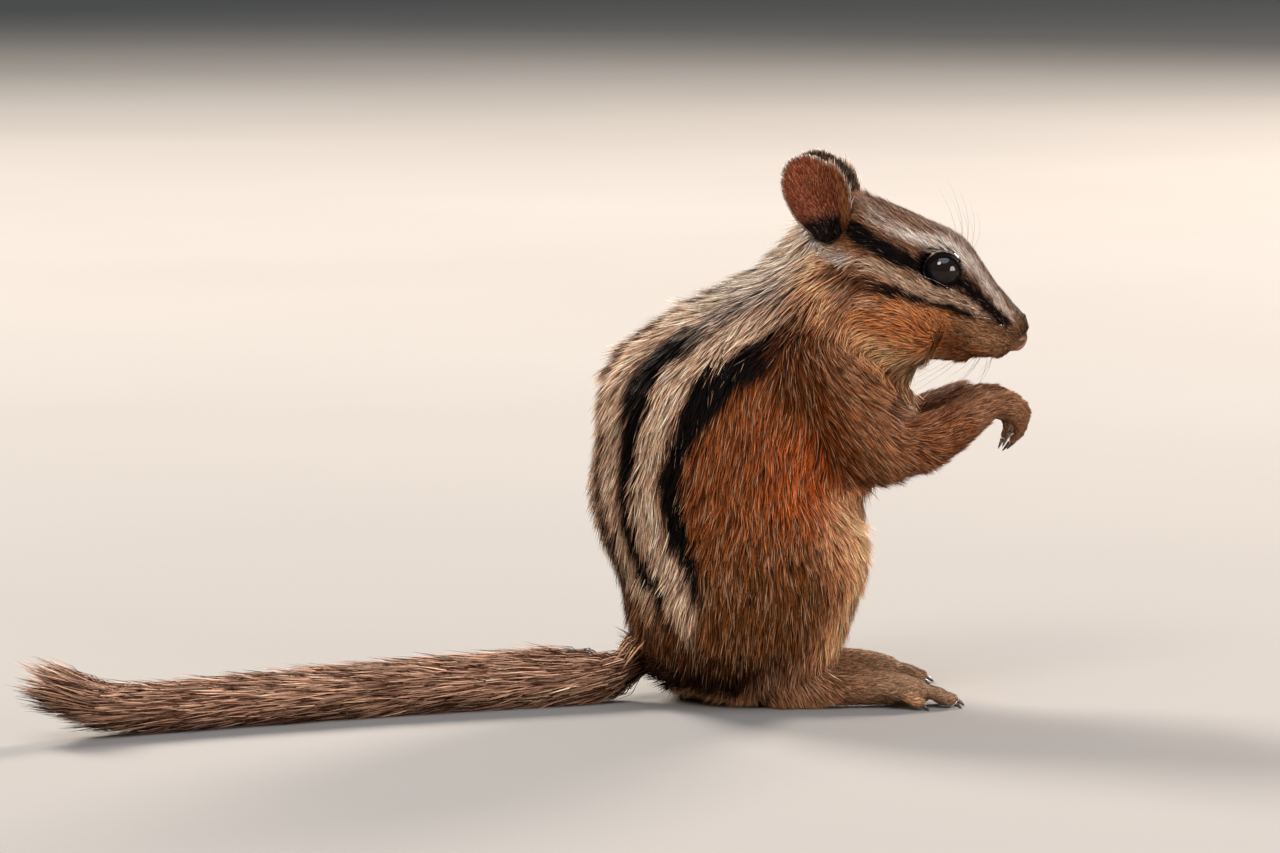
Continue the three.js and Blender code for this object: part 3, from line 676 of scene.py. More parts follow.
def body_colour(points):
    """The ground colours of the flank, haunch, shoulder and belly, with painted shade low by the floor, and
    then the stripes of the back. The pale belly is painted lighter still as painted glow, and the nape paler
    as painted rim light.
    """
    station, angle = body_place(points)
    round_by = np.abs(angle + np.interp(station, STATIONS, SPINE_TURN))
    z, x = points[:, 2], points[:, 0]
    colour = np.tile(FLANK, (len(points), 1))
    colour = paint(colour, HAUNCH, 1 - ease(z, 16, 34))
    # Near black low on the body, below the haunch by the floor: painted shade.
    colour = paint(colour, LOW_BODY_SHADE, 1 - ease(z, 3, 13))
    colour = paint(colour, SHOULDER_BROWN, ease(z + 0.4 * x, 50, 58))
    colour = paint(colour, SIDE_ORANGE, 0.8 * ease(x, 0, 12) * ease(z, 27, 33) * (1 - ease(z, 40, 47)))
    front = mix(106, 130, ease(z, 30, 37))
    belly = ease(round_by + 6 * wobble(points, 9, 3) - front, 0, 30)
    # The pale belly, with painted glow in its colour.
    colour = paint(colour, PALE_BELLY_AND_GLOW, belly * (1 - 0.4 * ease(z, 50, 58)))
    colour = paint(colour, THROAT, ease(x + 0.3 * (z - 50), 12, 20) * ease(z, 46, 52))
    edges = [np.interp(station, STATIONS, row) for row in STRIPE_EDGES]
    rough = round_by + 1.2 * wobble(points, 4, 5) + 0.9 * wobble(points, 1.6, 6)
    fade = ease(station, 6.5, 10.5) * (1 - ease(station, 55, 67))
    fade = fade * (1 - 0.8 * ease(-x, 8.5, 10.5) * (1 - ease(z, 12, 15)))
    tones = [MEDIAN_STRIPE, PALE_STRIPE, BLACK_STRIPE, PALE_STRIPE, BLACK_STRIPE]
    lower = [-1] + edges[:-1]
    for n, (low, high, tone) in enumerate(zip(lower, edges, tones)):
        inside = ease(rough, low - STRIPE_BLUR, low + STRIPE_BLUR) * (
            1 - ease(rough, high - STRIPE_BLUR, high + STRIPE_BLUR))
        if n == 4:
            inside = inside * ease(station, 18, 21)
        colour = paint(colour, tone, inside * fade)
    # The top of the neck painted paler: painted rim light on the nape.
    nape = ease(station, 50, 61) * (1 - ease(round_by, 22, 60))
    return paint(colour, NAPE_RIM_LIGHT, 0.6 * nape)


def limb_colour(points, colour):
    """Arms, hands and feet, painted over the body's colours."""
    for side in SIDES.values():
        shoulder, elbow, wrist, fingers, heel, toes = (
            on_side(point, side) for point in (SHOULDER, ELBOW, WRIST, FINGERS, HEEL, TOE_TIPS))
        _, distance = along_line(points, shoulder, elbow)
        colour = paint(colour, UPPER_ARM, (1 - ease(distance, 6.5, 10)) * 0.85)
        t, distance = along_line(points, elbow, wrist)
        colour = paint(colour, LIMB, (1 - ease(distance, 5.5, 8)) * ease(t, 0.0, 0.3))
        _, distance = along_line(points, wrist, fingers)
        colour = paint(colour, HAND_SKIN, 1 - ease(distance, 3.5, 6))
        t, distance = along_line(points, heel, toes)
        foot = (1 - ease(distance, 4, 6.5)) * (1 - ease(points[:, 2], 6, 8))
        # The foot turns tan towards the toes: painted light, as on the foot's lit top.
        colour = paint(colour, mix(HAND_SKIN, FOOT_LIT_TOP, ease(t, 0.3, 0.6)[:, None]), foot)
    return colour


def tail_step(points):
    """Which step of the tail's path lies nearest to each point."""
    tree = kdtree.KDTree(len(TAIL_PATH))
    for n, p in enumerate(TAIL_PATH):
        tree.insert(p, n)
    tree.balance()
    return np.array([tree.find(p)[1] for p in points])


# The pale patch behind each ear and the strip under it: ends, strength, and inner and outer reach.
EAR_PATCHES = [
    ((-12.5, 8, 4), (-14, 7, 7), 0.9, 1.6, 3.4),
    ((-12.5, 8.6, 3.6), (-7, 10.2, 2.5), 0.6, 0.7, 1.9),
]


def markings(points, sheet=None):
    """The coat's colour at each point of the skin, or of its ears."""
    at = to_head(points)
    on_head = ease(at[:, 0] + 0.75 * at[:, 2], -11, -6)
    colour = body_colour(points)
    colour = colour * (1 - on_head[:, None]) + head_colour(points) * on_head[:, None]
    for side in SIDES.values():
        for start, end, amount, inner, outer in EAR_PATCHES:
            _, distance = along_line(at, on_side(start, side), on_side(end, side))
            colour = paint(colour, EAR_PATCH, amount * (1 - ease(distance, inner, outer)))
    colour = limb_colour(points, colour)
    on_tail = 1 - ease(points[:, 0], -17, -10)
    colour = paint(colour, TAIL_BROWN, on_tail * (1 - ease(points[:, 2], 9, 12)))
    if sheet is None:
        return colour
    on_ear = ~np.isnan(sheet[:, 0])
    colour[on_ear] = ear_colour(sheet[on_ear])
    return colour


# Materials

def add_node(tree, kind, settings=None, **links):
    """Adds a node, sets its options and its sockets' values, and joins the sockets named."""
    node = tree.nodes.new(kind)
    for name, value in (settings or {}).items():
        if hasattr(node, name):
            setattr(node, name, value)
        else:
            node.inputs[name].default_value = value
    for name, source in links.items():
        tree.links.new(source, node.inputs[name.replace("_", " ")])
    return node


def new_material(name):
    material = bpy.data.materials.new(name)
    material.use_nodes = True
    material.node_tree.nodes.clear()
    return material, material.node_tree


def finish_material(tree, surface):
    output = tree.nodes.new("ShaderNodeOutputMaterial")
    tree.links.new(surface.outputs[0], output.inputs["Surface"])


def object_scale(size_mm):
    """A noise scale whose features are about this many millimetres across."""
    return 1 / (size_mm * MM)


def uneven_coat(tree, grain_mm, detail, least, most):
    """The coat's painted colour, made uneven by a grain of this size, and the grain's own noise."""
    painted = add_node(tree, "ShaderNodeAttribute", {"attribute_name": "Coat"})
    place = add_node(tree, "ShaderNodeTexCoord")
    grain = add_node(tree, "ShaderNodeTexNoise", {"Scale": object_scale(grain_mm), "Detail": detail},
                     Vector=place.outputs["Object"])
    uneven = add_node(tree, "ShaderNodeMapRange", {"To Min": least, "To Max": most},
                      Value=grain.outputs["Fac"])
    tone = add_node(tree, "ShaderNodeVectorMath", {"operation": "SCALE"},
                    Vector=painted.outputs["Color"], Scale=uneven.outputs["Result"])
    return tone.outputs["Vector"], grain.outputs["Fac"]


def hair_material():
    """Keratin hair: nearly matte in the mass, its colour uneven from lock to lock."""
    material, tree = new_material("keratin_hair")
    tone, _ = uneven_coat(tree, 0.8, 3.0, 0.78, 1.22)
    surface = add_node(tree, "ShaderNodeBsdfPrincipled",
                       {"Roughness": 0.6, "IOR": 1.55, "Specular IOR Level": 0.04}, Base_Color=tone)
    finish_material(tree, surface)
    return material


def skin_material():
    """Hide under the coat, and the nose's bare skin: the painted colour with a fine soft grain."""
    material, tree = new_material("hide_with_underfur")
    tone, grain = uneven_coat(tree, 0.35, 4.0, 0.6, 1.1)
    bump = add_node(tree, "ShaderNodeBump", {"Strength": 0.5, "Distance": 0.15 * MM}, Height=grain)
    surface = add_node(tree, "ShaderNodeBsdfPrincipled",
                       {"Roughness": 0.7, "IOR": 1.45, "Specular IOR Level": 0.25},
                       Normal=bump.outputs["Normal"], Base_Color=tone)
    finish_material(tree, surface)
    return material


def eye_material():
    """A wet cornea over a nearly black iris: a hard, clear highlight on a dark ball."""
    material, tree = new_material("wet_cornea")
    place = add_node(tree, "ShaderNodeTexCoord")
    cloud = add_node(tree, "ShaderNodeTexNoise", {"Scale": object_scale(1.5), "Detail": 2.0},
                     Vector=place.outputs["Object"])
    ramp = add_node(tree, "ShaderNodeValToRGB", Fac=cloud.outputs["Fac"])
    ramp.color_ramp.elements[0].color = (*linear(0x060404), 1)
    ramp.color_ramp.elements[1].color = (*linear(0x1C100A), 1)
    surface = add_node(tree, "ShaderNodeBsdfPrincipled", {"Roughness": 0.05, "IOR": 1.4},
                       Base_Color=ramp.outputs["Color"])
    finish_material(tree, surface)
    return material


def grained_material(name, dark, light, grain_mm, roughness, bump_mm=0.05, gloss=0.5):
    """A plain material in two close tones, with a low relief that follows the same grain."""
    material, tree = new_material(name)
    place = add_node(tree, "ShaderNodeTexCoord")
    grain = add_node(tree, "ShaderNodeTexNoise", {"Scale": object_scale(grain_mm), "Detail": 4.0},
                     Vector=place.outputs["Object"])
    ramp = add_node(tree, "ShaderNodeValToRGB", Fac=grain.outputs["Fac"])
    ramp.color_ramp.elements[0].position, ramp.color_ramp.elements[1].position = 0.35, 0.65
    ramp.color_ramp.elements[0].color = (*linear(dark), 1)
    ramp.color_ramp.elements[1].color = (*linear(light), 1)
    bump = add_node(tree, "ShaderNodeBump", {"Strength": 0.6, "Distance": bump_mm * MM},
                    Height=grain.outputs["Fac"])
    surface = add_node(tree, "ShaderNodeBsdfPrincipled",
                       {"Roughness": roughness, "IOR": 1.5, "Specular IOR Level": gloss},
                       Normal=bump.outputs["Normal"], Base_Color=ramp.outputs["Color"])
    finish_material(tree, surface)
    return material


def lid_material():
    """Bare skin of the lids: nearly black and dull, a soft dark rim round the wet eye."""
    return grained_material("bare_lid_skin", 0x030202, 0x080505, 0.4, 0.8, gloss=0.06)


def whisker_material():
    """Whisker keratin: dark and smooth, with a thin shine along each whisker."""
    return grained_material("whisker_keratin", 0x140E0C, 0x2C2320, 2, 0.4)


def claw_material():
    """Claw horn: brown in dark and pale clouds, polished a little by wear."""
    return grained_material("claw_horn", 0x1E1512, 0x5A463A, 0.8, 0.35)


def floor_material():
    """Matte grey card: an even ground that takes a soft shadow. Its clouds are too faint to see."""
    return grained_material("pale_floor", 0x6C6A68, 0x706E6C, 400, 0.9, 0)


def set_colours(mesh, colours):
    """Stores a linear colour for each point, in the layer that the coat's materials read."""
    layer = mesh.color_attributes.new("Coat", "FLOAT_COLOR", "POINT")
    rows = np.column_stack([colours, np.ones(len(colours))])
    layer.data.foreach_set("color", rows.astype(np.float32).ravel())


def smooth_faces(mesh):
    mesh.polygons.foreach_set("use_smooth", np.ones(len(mesh.polygons), bool))


def dress(piece, material):
    """Gives a piece its material, and lets it ride on the animal's one body."""
    piece.data.materials.clear()
    piece.data.materials.append(material)
    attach(piece, "root")
    return piece


# The coat: closed tapered tufts, rooted in the skin

def triangle_roots(mesh, density, seed, sheet=None):
    """Random places on the skin, as many per square mm as density says at each point."""
    points, normals, corners = mesh_arrays(mesh)
    a, b, c = (points[corners[:, n]] for n in range(3))
    area = np.linalg.norm(np.cross(b - a, c - a), axis=1) / 2
    wanted = area * density[corners].mean(axis=1)
    random = np.random.default_rng(seed)
    number = np.floor(wanted + random.random(len(wanted))).astype(int)
    chosen = np.repeat(np.arange(len(corners)), number)
    u, v = random.random(len(chosen)), random.random(len(chosen))
    over = u + v > 1
    u[over], v[over] = 1 - u[over], 1 - v[over]
    shares = np.column_stack([1 - u - v, u, v])
    tri = corners[chosen]
    place = (points[tri] * shares[:, :, None]).sum(axis=1)
    normal = unit((normals[tri] * shares[:, :, None]).sum(axis=1))
    loops = np.empty(len(mesh.loop_triangles) * 3, np.int32)
    mesh.loop_triangles.foreach_get("loops", loops)
    chart = np.empty(len(mesh.loops) * 2, np.float32)
    mesh.uv_layers["OFBake"].data.foreach_get("uv", chart)
    chart = chart.reshape(-1, 2)[loops.reshape(-1, 3)[chosen]]
    found = [place, normal, (chart * shares[:, :, None]).sum(axis=1)]
    if sheet is not None:
        found.append((sheet[tri] * shares[:, :, None]).sum(axis=1))
    return found


def clumped(roots, tips, spacing, pull, seed):
    """Leans each tip towards that of the nearest of some tufts picked as clump leaders."""
    random = np.random.default_rng(seed)
    leaders = random.choice(len(roots), max(1, int(len(roots) / spacing)), replace=False)
    tree = kdtree.KDTree(len(leaders))
    for n in leaders:
        tree.insert(roots[n], int(n))
    tree.balance()
    nearest = np.array([tree.find(p)[1] for p in roots])
    pull = (pull * random.uniform(0.4, 1.0, len(roots)))[:, None]
    return tips + (tips[nearest] - tips) * pull


# A tuft is coloured from its own small patch of the skin's chart, of this half size.
PATCH = 0.0015
# How many tufts a clump has, and how far their tips lean to the one that leads it.
SHORT_CLUMP, TAIL_CLUMP = (14, 0.45), (10, 0.5)
TUFT_THICKNESS = 0.35
BEND_WIDTH, BEND_SHADE = 0.8, 0.45


def tuft_mesh(name, roots, bends, tips, widths, normals, root_colour, tip_colour, charts):
    """One closed tapered blade for each root: three root corners, three at its bend, one tip.

    Without bends each blade is straight, with only root corners and a tip.
    """
    way = unit(tips - roots)
    side = unit(np.cross(way, normals))
    out = np.cross(side, way)
    half, thick = widths[:, None] / 2, widths[:, None] * TUFT_THICKNESS
    triple = [roots - side * half, roots + side * half, roots - out * thick]
    if bends is None:
        points = np.stack(triple + [tips], axis=1)
        pattern = [(0, 2, 1), (0, 1, 3), (1, 2, 3), (2, 0, 3)]
        shade = [root_colour] * 3 + [tip_colour]
        spots = [(-1, -1), (1, -1), (0, -1), (0, 1)]
    else:
        middle = [bends - side * half * BEND_WIDTH, bends + side * half * BEND_WIDTH,
                  bends - out * thick * BEND_WIDTH]
        points = np.stack(triple + middle + [tips], axis=1)
        pattern = [(0, 2, 1), (0, 1, 4), (0, 4, 3), (1, 2, 5), (1, 5, 4), (2, 0, 3), (2, 3, 5),
                   (3, 4, 6), (4, 5, 6), (5, 3, 6)]
        halfway = mix(root_colour, tip_colour, BEND_SHADE)
        shade = [root_colour] * 3 + [halfway] * 3 + [tip_colour]
        spots = [(-1, -1), (1, -1), (0, -1), (-1, 0), (1, 0), (0, 0.2), (0, 1)]
    corners = points.shape[1]
    faces = (np.array(pattern)[None] + (np.arange(len(roots)) * corners)[:, None, None]).reshape(-1)
    points = points.reshape(-1, 3) * MM
    points[:, 2] = np.maximum(points[:, 2], 0.02 * MM)
    mesh = bpy.data.meshes.new(name)
    mesh.vertices.add(len(points))
    mesh.vertices.foreach_set("co", points.astype(np.float32).ravel())
    mesh.loops.add(len(faces))
    mesh.loops.foreach_set("vertex_index", faces.astype(np.int32))
    mesh.polygons.add(len(faces) // 3)
    mesh.polygons.foreach_set("loop_start", np.arange(0, len(faces), 3, dtype=np.int32))
    mesh.update(calc_edges=True)
    uv = (charts[:, None, :] + np.array(spots)[None] * PATCH).reshape(-1, 2)
    mesh.uv_layers.new(name="OFBake").data.foreach_set("uv", uv[faces].astype(np.float32).ravel())
    set_colours(mesh, np.stack(shade, axis=1).reshape(-1, 3))
    smooth_faces(mesh)
    own = unit(normals + 0.5 * out + side * np.random.default_rng(SEED).normal(0, 0.45, (len(roots), 1)))
    soft = np.repeat(own, corners, axis=0)
    mesh.normals_split_custom_set_from_vertices(soft.tolist())
    return mesh


# Layers of tufts over each other, an ear's own hair, and its tufts per square mm inside and outside.
COVER = 5.0
EAR_HAIR, EAR_LIFT = 0.9, 13
EAR_DENSITY = (48, 75)
TUFTS_PER_PIECE = 48000
NOSE_BARE = (23.2, 0, 1.8)
FROST, TICKED, TICK_SHADE = 0.42, 0.28, 0.22


def tuft_width(hair):
    """The mean width of a tuft, from its hair's length."""
    return 0.075 + 0.038 * hair


def coat_density(skin, sheet):
    """Tufts per square mm at each point of the skin: enough for several layers of hair."""
    points, _, _ = mesh_arrays(skin)
    _, coat = coat_at(points)
    density = COVER / (0.5 * tuft_width(coat["hair"]) * coat["hair"])
    at = to_head(points)
    for side in SIDES.values():
        centre, outward, forward, up = eye_frame(side)
        spoke = at - centre
        bare = np.hypot(spoke @ forward / LID_BARE[0], spoke @ up / LID_BARE[1])
        density *= 1 - (1 - ease(bare, 0.96, 1.06)) * (spoke @ outward > 0)
    density *= ease(np.linalg.norm(at - NOSE_BARE, axis=1), 2.1, 2.6)
    density *= 0.1 + 0.9 * ease(from_ear_hollow(at), 2.4, 3.1)
    density *= 1 - 0.999 * (1 - ease(points[:, 0], -19, -14)) * (1 - ease(points[:, 2], 9, 12))
    density *= ease(points[:, 2], 0.3, 1.0)
    on_ear = ~np.isnan(sheet[:, 0])
    density[on_ear] = np.where(sheet[on_ear, 2] < 0, *EAR_DENSITY)
    return density


def lay_tufts(roots, normals, sheet, seed):
    """The tip and the width of each tuft, from the way the coat lies at its root."""
    random = np.random.default_rng(seed)
    lie, coat = coat_at(roots)
    on_ear = ~np.isnan(sheet[:, 0])
    for side in SIDES.values():
        mine = on_ear & (roots[:, 1] * side > HEAD_CENTRE[1] * side)
        up, _, across = ear_frame(side)
        lie[mine] = unit((up - side * across * 0.7 * sheet[mine, :1]) @ HEAD_TURN.T)
    coat["hair"][on_ear] = EAR_HAIR * (1 + 1.6 * ear_front(sheet[on_ear]) * (sheet[on_ear, 2] < 0))
    coat["lift"][on_ear] = EAR_LIFT
    stray = np.column_stack([wobble(roots, 7, seed + n) for n in range(3)]) * 0.16
    stray += random.normal(size=(len(roots), 3)) * 0.12
    lie = unit(lie + stray)
    flat = unit(lie - (lie * normals).sum(axis=1)[:, None] * normals)
    lift = np.radians(coat["lift"] * random.uniform(0.5, 1.5, len(roots)))
    hair = coat["hair"] * random.uniform(0.65, 1.2, len(roots))
    tips = roots + hair[:, None] * (np.cos(lift)[:, None] * flat + np.sin(lift)[:, None] * normals)
    return tips, tuft_width(coat["hair"]) * random.uniform(0.7, 1.3, len(roots))


def coat_colours(shown, sheet, seed):
    """Colours at the root and tip of each tuft: dark at the root, as the hair's base is and as painted shade
    deep in the coat, some tips pale, some dark.

    The marking is read where the tuft shows, past the tips of the tufts before it.
    """
    random = np.random.default_rng(seed)
    base = markings(shown, sheet)
    tone = np.exp(random.normal(0, 0.42, len(shown)))[:, None]
    tips = base * tone * 1.25
    at = to_head(shown)
    crown = ease(at[:, 2] + 0.4 * at[:, 0], 11.5, 13.5) * ease(at[:, 0] + 0.75 * at[:, 2], -9, -4)
    frosted = random.random(len(shown)) < 0.03 + 0.17 * ease(base.max(axis=1), 0.02, 0.08) + 0.1 * crown
    tips[frosted] = mix(tips[frosted], HAIR_FROST, FROST)
    ticked = random.random(len(shown)) < TICKED
    tips[ticked] *= TICK_SHADE
    # The roots are darkened: the hair's own dark base, and painted shade deep in the coat.
    return base * 0.3 * tone, np.clip(tips, 0, 0.95)


def region_of(points):
    """The name of the coat piece that each root belongs to."""
    at = to_head(points)
    names = np.full(len(points), "back", dtype=object)
    names[(points[:, 1] < 0) & (points[:, 0] > -4)] = "right_side"
    names[(points[:, 1] >= 0) & (points[:, 0] > -4)] = "left_side"
    names[points[:, 2] > 52] = "neck"
    names[points[:, 2] < 7.5] = "feet"
    forward = (points[:, 0] > 27) & (points[:, 2] < 52)
    names[forward & (points[:, 2] > 12)] = "arms"
    head = at[:, 0] + 0.75 * at[:, 2] > -8.5
    names[head & (at[:, 1] < 0)] = "head_right"
    names[head & (at[:, 1] >= 0)] = "head_left"
    return names


def make_short_coat(skin, sheet, material):
    """All the coat but the tail's: straight tufts, in pieces by the part of the body."""
    roots, normals, charts, sheet = triangle_roots(skin, coat_density(skin, sheet), SEED, sheet)
    tips, widths = lay_tufts(roots, normals, sheet, SEED + 1)
    tips = clumped(roots, tips, *SHORT_CLUMP, SEED + 2)
    seen = np.random.default_rng(SEED + 4).uniform(0.25, 0.9, (len(roots), 1))
    root_colour, tip_colour = coat_colours(mix(roots, tips, seen), sheet, SEED + 3)
    names = region_of(roots)
    for name in sorted(set(names)):
        chosen = np.flatnonzero(names == name)
        for part, some in enumerate(np.array_split(chosen, math.ceil(len(chosen) / TUFTS_PER_PIECE))):
            label = f"coat_{name}_{part + 1}"
            mesh = tuft_mesh(label, roots[some], None, tips[some], widths[some], normals[some],
                             root_colour[some], tip_colour[some], charts[some])
            dress(new_object(label, mesh), material)


# Tufts on the tail, the square millimetres that they are spread over, and their widths.
TAIL_TUFTS, TAIL_SKIN_AREA = 15000, 1050
TAIL_WIDTHS = (0.2, 0.36)


def make_tail_coat(skin, material):
    """Long bent tufts round the tail, brown at the root, with most of the tips pale.

    Those by the rump lie down over the tail's root.
    """
    points, _, _ = mesh_arrays(skin)
    on_tail = (1 - ease(points[:, 0], -13, -10.5)) * (1 - ease(points[:, 2], 9.5, 11.5))
    roots, _, charts = triangle_roots(skin, on_tail * TAIL_TUFTS / TAIL_SKIN_AREA, SEED + 20)
    random = np.random.default_rng(SEED + 21)
    step = tail_step(roots)
    share = step / (len(TAIL_PATH) - 1)
    way = unit(np.gradient(TAIL_PATH, axis=0))[step]
    way = unit(way + random.normal(size=way.shape) * 0.07)
    way[:, 2] -= 0.9 * ease(roots[:, 2], 7.5, 10)
    way = unit(way)
    out = unit(roots - TAIL_PATH[step])
    length = mix(7.5, 10.5, share) * random.uniform(0.7, 1.15, len(roots))
    by_rump = mix(0.3 - 0.7 * np.minimum(out[:, 2], 0), 1, ease(share, 0.0, 0.2))
    reach = (mix(*TAIL_REACH, share) - mix(*TAIL_CORE, share)) * by_rump
    rise = reach * random.uniform(0.35, 1.05, len(roots))
    bends = roots + way * (length * 0.4)[:, None] + out * (rise * 0.75)[:, None]
    tips = roots + way * length[:, None] + out * rise[:, None]
    tips = clumped(roots, tips, *TAIL_CLUMP, SEED + 22)
    base = markings(roots)
    tone = np.exp(random.normal(0, 0.42, len(roots)))[:, None]
    root_colour = mix(base, TAIL_UNDERFUR, 0.25) * tone
    tip_colour = mix(base * 0.8, TAIL_PALE, (random.random(len(roots)) < 0.62)[:, None] * 0.8) * tone
    widths = random.uniform(*TAIL_WIDTHS, len(roots))
    for part, some in enumerate(np.array_split(np.arange(len(roots)), 2)):
        label = f"coat_tail_{part + 1}"
        mesh = tuft_mesh(label, roots[some], bends[some], tips[some], widths[some], out[some],
                         root_colour[some], np.clip(tip_colour[some], 0, 0.9), charts[some])
        dress(new_object(label, mesh), material)


# Eyes, nose, whiskers and claws

def make_eyes(material, lid_skin):
    """The eyeballs, a little fuller at the front, and the lids round them."""
    for name, side in SIDES.items():
        centre, outward, _, _ = eye_frame(side)
        points, faces = ball_points(32, 48)
        bulge = 1 + 0.03 * ease(points @ outward, 0.6, 1.0)
        points = centre + points * (EYE_RADIUS * bulge)[:, None]
        mesh = new_mesh(f"eyeball_{name}", from_head(points) * MM, faces)
        smooth_faces(mesh)
        ball = dress(new_object(f"eyeball_{name}", mesh), material)
        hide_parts(f"eye_{name}")
        dress(new_object(f"eyelids_{name}", lid_mesh(side)), lid_skin)


# The lids' slot: half its length, and its height above and below. Round it, the coat leaves an oval
# bare. A lid's profile is (degrees out from the slot's edge, height over the eyeball's surface).
LID_OPENING = (2.45, 2.0, 1.85)
LID_BARE = (2.62, 2.15)
LID_AROUND = 96
LID_GAP = 0.08
LID_PROFILE = [(-3, -0.2), (-1.5, 0.03), (1, 0.12), (4, 0.14), (8, 0.06), (14, -0.02),
               (22, -0.12), (30, -0.3)]


def lid_mesh(side):
    """Both lids: bare dark skin that follows the eyeball, open in a slot with a corner at each end."""
    centre, outward, forward, up = eye_frame(side)
    wide, top, bottom = LID_OPENING
    points = []
    for n in range(LID_AROUND):
        turn = 2 * math.pi * n / LID_AROUND
        tall = top if math.sin(turn) > 0 else bottom
        x, y = wide * math.cos(turn), tall * math.sin(turn) * abs(math.sin(turn)) ** 0.3
        open_by = math.asin(min(math.hypot(x, y) / EYE_RADIUS, 0.99))
        radial = unit(forward * x + up * y)
        for degrees, height in LID_PROFILE:
            angle = open_by + math.radians(degrees)
            points.append(centre + (EYE_RADIUS + LID_GAP + height) * (
                outward * math.cos(angle) + radial * math.sin(angle)))
    faces, count = [], len(LID_PROFILE)
    for n in range(LID_AROUND):
        for m in range(count - 1):
            a, b = n * count + m, n * count + m + 1
            c, d = (n + 1) % LID_AROUND * count + m + 1, (n + 1) % LID_AROUND * count + m
            faces.append((a, b, c, d) if side < 0 else (a, d, c, b))
    mesh = new_mesh("eyelids", from_head(points) * MM, faces)
    smooth_faces(mesh)
    return mesh


NOSTRIL_LINE = [(24.6, 0.7, 2.3), (24.0, 1.4, 1.7), (22.9, 2.0, 1.3)]
NOSE_CREASE = ((24.9, 0, 2.4), (24.2, 0, -0.4))


def make_nose(material):
    """The bare nose pad, with a curved nostril on each side and a crease between them."""
    points, faces = ball_points(48, 64)
    place = NOSE_CENTRE + points * NOSE_SIZE
    place[:, 2] += 0.5 * ease(-(place[:, 0] - NOSE_CENTRE[0]), -2, 1)
    sink = np.maximum(groove(to_left(place), NOSTRIL_LINE, 0.95, 0.42),
                      groove(place, NOSE_CREASE, 0.3, 0.22))
    place = place - unit(points / NOSE_SIZE) * sink[:, None]
    mesh = new_mesh("nose_pad", from_head(place) * MM, faces)
    smooth_faces(mesh)
    # The nostrils are darkened by their depth: painted shade in them.
    colour = paint(np.tile(NOSE_SKIN, (len(place), 1)), HOLLOW_SHADE, ease(sink, 0.25, 0.6))
    colour = paint(colour, FACE_DARK, 0.9 * ease(place[:, 2], 2.5, 3.3))
    set_colours(mesh, colour)
    return dress(new_object("nose_pad", mesh), material)


LIP_ROWS, LIP_COLUMNS, BROW_COUNT = 5, 4, 4
LIP_RADIUS, BROW_RADIUS = 0.03, 0.024
WHISKER_STEPS = 12
WHISKER_CORNERS = (0, 2.1, 4.2)


def whisker(root, way, droop, radius):
    """A tapering closed tube from its root, bent by its droop. It is placed in the head's frame."""
    steps = np.linspace(0, 1, WHISKER_STEPS)[:, None]
    path = from_head(root + way * steps + np.asarray(droop) * steps ** 2)
    way = unit(np.gradient(path, axis=0))
    side = unit(np.cross(way, (0.13, 0.31, 0.94)))
    other = np.cross(way, side)
    count = WHISKER_STEPS - 1
    points = [path[0] - way[0] * radius]
    for n in range(count):
        r = radius * (1 - n / count) ** 0.7
        points += [path[n] + r * (side[n] * math.cos(a) + other[n] * math.sin(a)) for a in WHISKER_CORNERS]
    points.append(path[-1])
    return np.array(points), tube_faces(count, len(WHISKER_CORNERS))[:, FLIPPED]


def lip_whisker(side, row, column, random):
    root = np.array([19.6 - 1.25 * column, side * (2.6 + 0.5 * column), 2.6 - 0.95 * row])
    way = np.array([0.55 - 0.28 * column, side, 0.5 - 0.32 * row])
    way = unit(way + random.normal(size=3) * 0.08)
    length = random.uniform(9, 13) + 2.5 * column
    return whisker(root, way * length, np.array([-0.45, 0, -0.3]) * length, LIP_RADIUS)


def brow_whisker(side, n):
    root = np.array([10.5 - 0.6 * n, side * 4.6, 11.2])
    way = unit(np.array([0.25 - 0.2 * n, side * 0.5, 1.0]))
    return whisker(root, way * (7 + n), (-4, 0, -0.5), BROW_RADIUS)


def make_whiskers(material):
    random = np.random.default_rng(SEED + 40)
    tubes = []
    for side in SIDES.values():
        tubes += [lip_whisker(side, row, column, random)
                  for row in range(LIP_ROWS) for column in range(LIP_COLUMNS)]
        tubes += [brow_whisker(side, n) for n in range(BROW_COUNT)]
    points, faces = joined(tubes)
    mesh = new_mesh("whiskers", points * MM, faces)
    smooth_faces(mesh)
    dress(new_object("whiskers", mesh), material)


def make_claws(material):
    """The claws, with the solids' facets rounded away."""
    for name, node in sorted(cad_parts.items()):
        if "claw" not in name:
            continue
        points, _, faces = mesh_arrays(node.data)
        points, faces = welded(points / MM, faces)
        piece = new_object(f"{name}_horn", new_mesh(f"{name}_horn", points * MM, faces))
        soft = piece.modifiers.new("rounded", "SUBSURF")
        soft.levels = soft.render_levels = 2
        smooth_faces(piece.data)
        dress(piece, material)
        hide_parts(name)


# Floor and light, in metres. A light's row: its direction's two angles, its distance, the width of
# its disk, its power in watts and its tint.

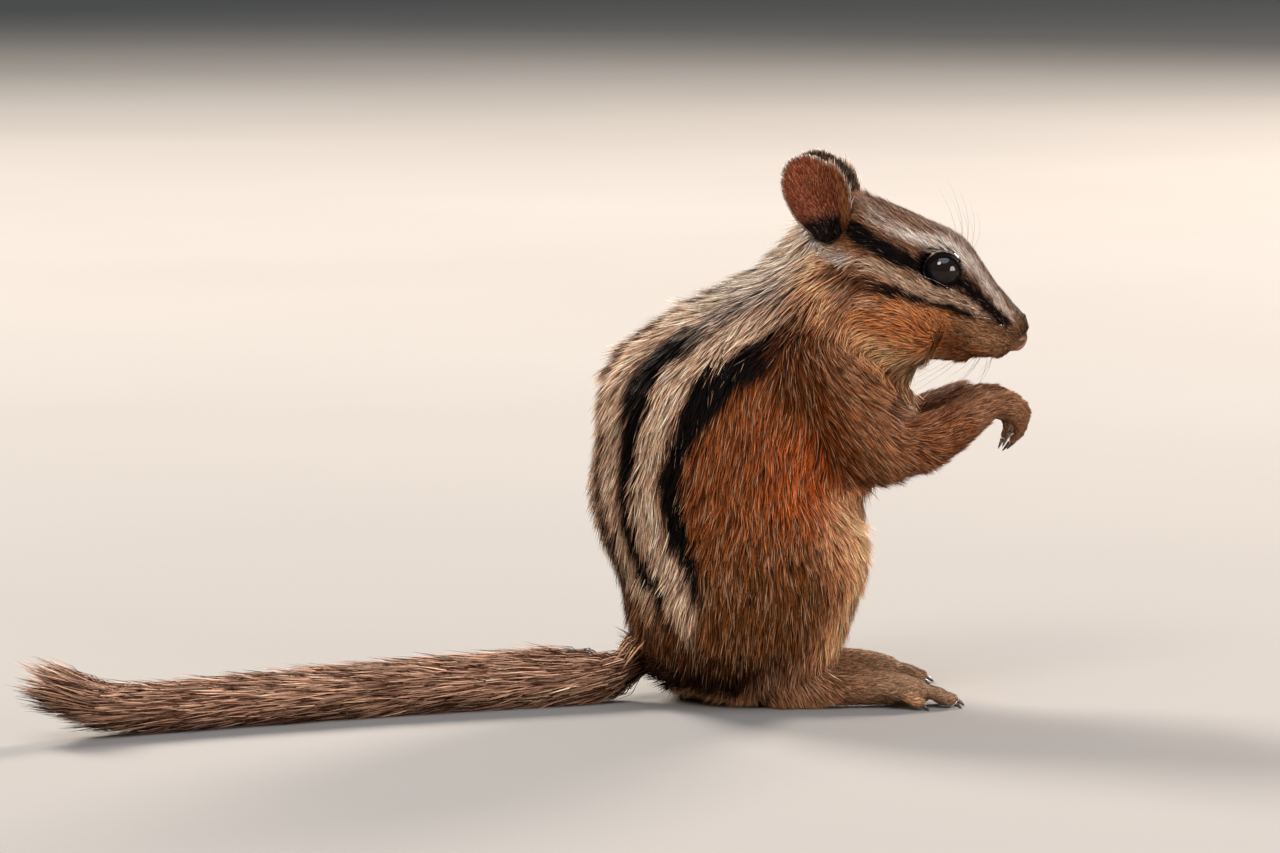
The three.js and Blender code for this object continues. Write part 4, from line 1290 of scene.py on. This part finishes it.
FLOOR_REACH = 15
LIGHT_AIM = (0, 0, 0.04)
LIGHTS = {
    "key": (-34, 42, 2.4, 0.8, 36, 0xFFF1E0),
    "fill": (48, 4, 2.4, 1.4, 64, 0xFFF3EA),
    "sky": (5, 66, 2.0, 1.9, 34, 0xE4EEFF),
    "glow": (140, 24, 2.2, 0.7, 90, 0xFFEFE0),
    "rim": (212, 36, 2.2, 0.8, 120, 0xFFF4E8),
}
WORLD_TINT, WORLD_STRENGTH = 0xE6EEF0, 0.3


def add_floor():
    points = [(FLOOR_REACH * x, FLOOR_REACH * y, 0) for x, y in ((-1, -1), (1, -1), (1, 1), (-1, 1))]
    floor = new_object("floor", new_mesh("floor", points, [(0, 1, 2, 3)]))
    floor.data.materials.append(floor_material())


def add_light(name, azimuth, elevation, distance, size, power, tint):
    way = direction(azimuth, elevation)
    data = bpy.data.lights.new(name, "AREA")
    data.shape, data.size, data.energy, data.color = "DISK", size, power, linear(tint)
    light = bpy.data.objects.new(name, data)
    light.location = Vector(LIGHT_AIM) + way * distance
    light.rotation_euler = way.to_track_quat("Z", "Y").to_euler()
    bpy.context.scene.collection.objects.link(light)


def add_world():
    world = bpy.data.worlds.new("studio")
    world.use_nodes = True
    background = world.node_tree.nodes["Background"]
    background.inputs["Color"].default_value = (*linear(WORLD_TINT), 1)
    background.inputs["Strength"].default_value = WORLD_STRENGTH
    bpy.context.scene.world = world


def set_view():
    """Colours come out as they are painted, with no film curve over them."""
    bpy.context.scene.view_settings.view_transform = "Standard"


def build():
    set_view()
    skin_mesh, sheet = make_skin()
    skin = new_object("skin", skin_mesh)
    unwrap(skin)
    points, _, _ = mesh_arrays(skin_mesh)
    set_colours(skin_mesh, markings(points, sheet) * 0.6)
    hair = hair_material()
    make_short_coat(skin_mesh, sheet, hair)
    make_tail_coat(skin_mesh, hair)
    skin_mesh.transform(Matrix.Scale(MM, 4))
    smooth_faces(skin_mesh)
    dress(skin, skin_material())
    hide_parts(*FLESH, *EARS, *TAIL_NODES)
    make_eyes(eye_material(), lid_material())
    make_nose(skin_material())
    make_whiskers(whisker_material())
    make_claws(claw_material())
    add_floor()
    add_world()
    for name, row in LIGHTS.items():
        add_light(name, *row)


build()
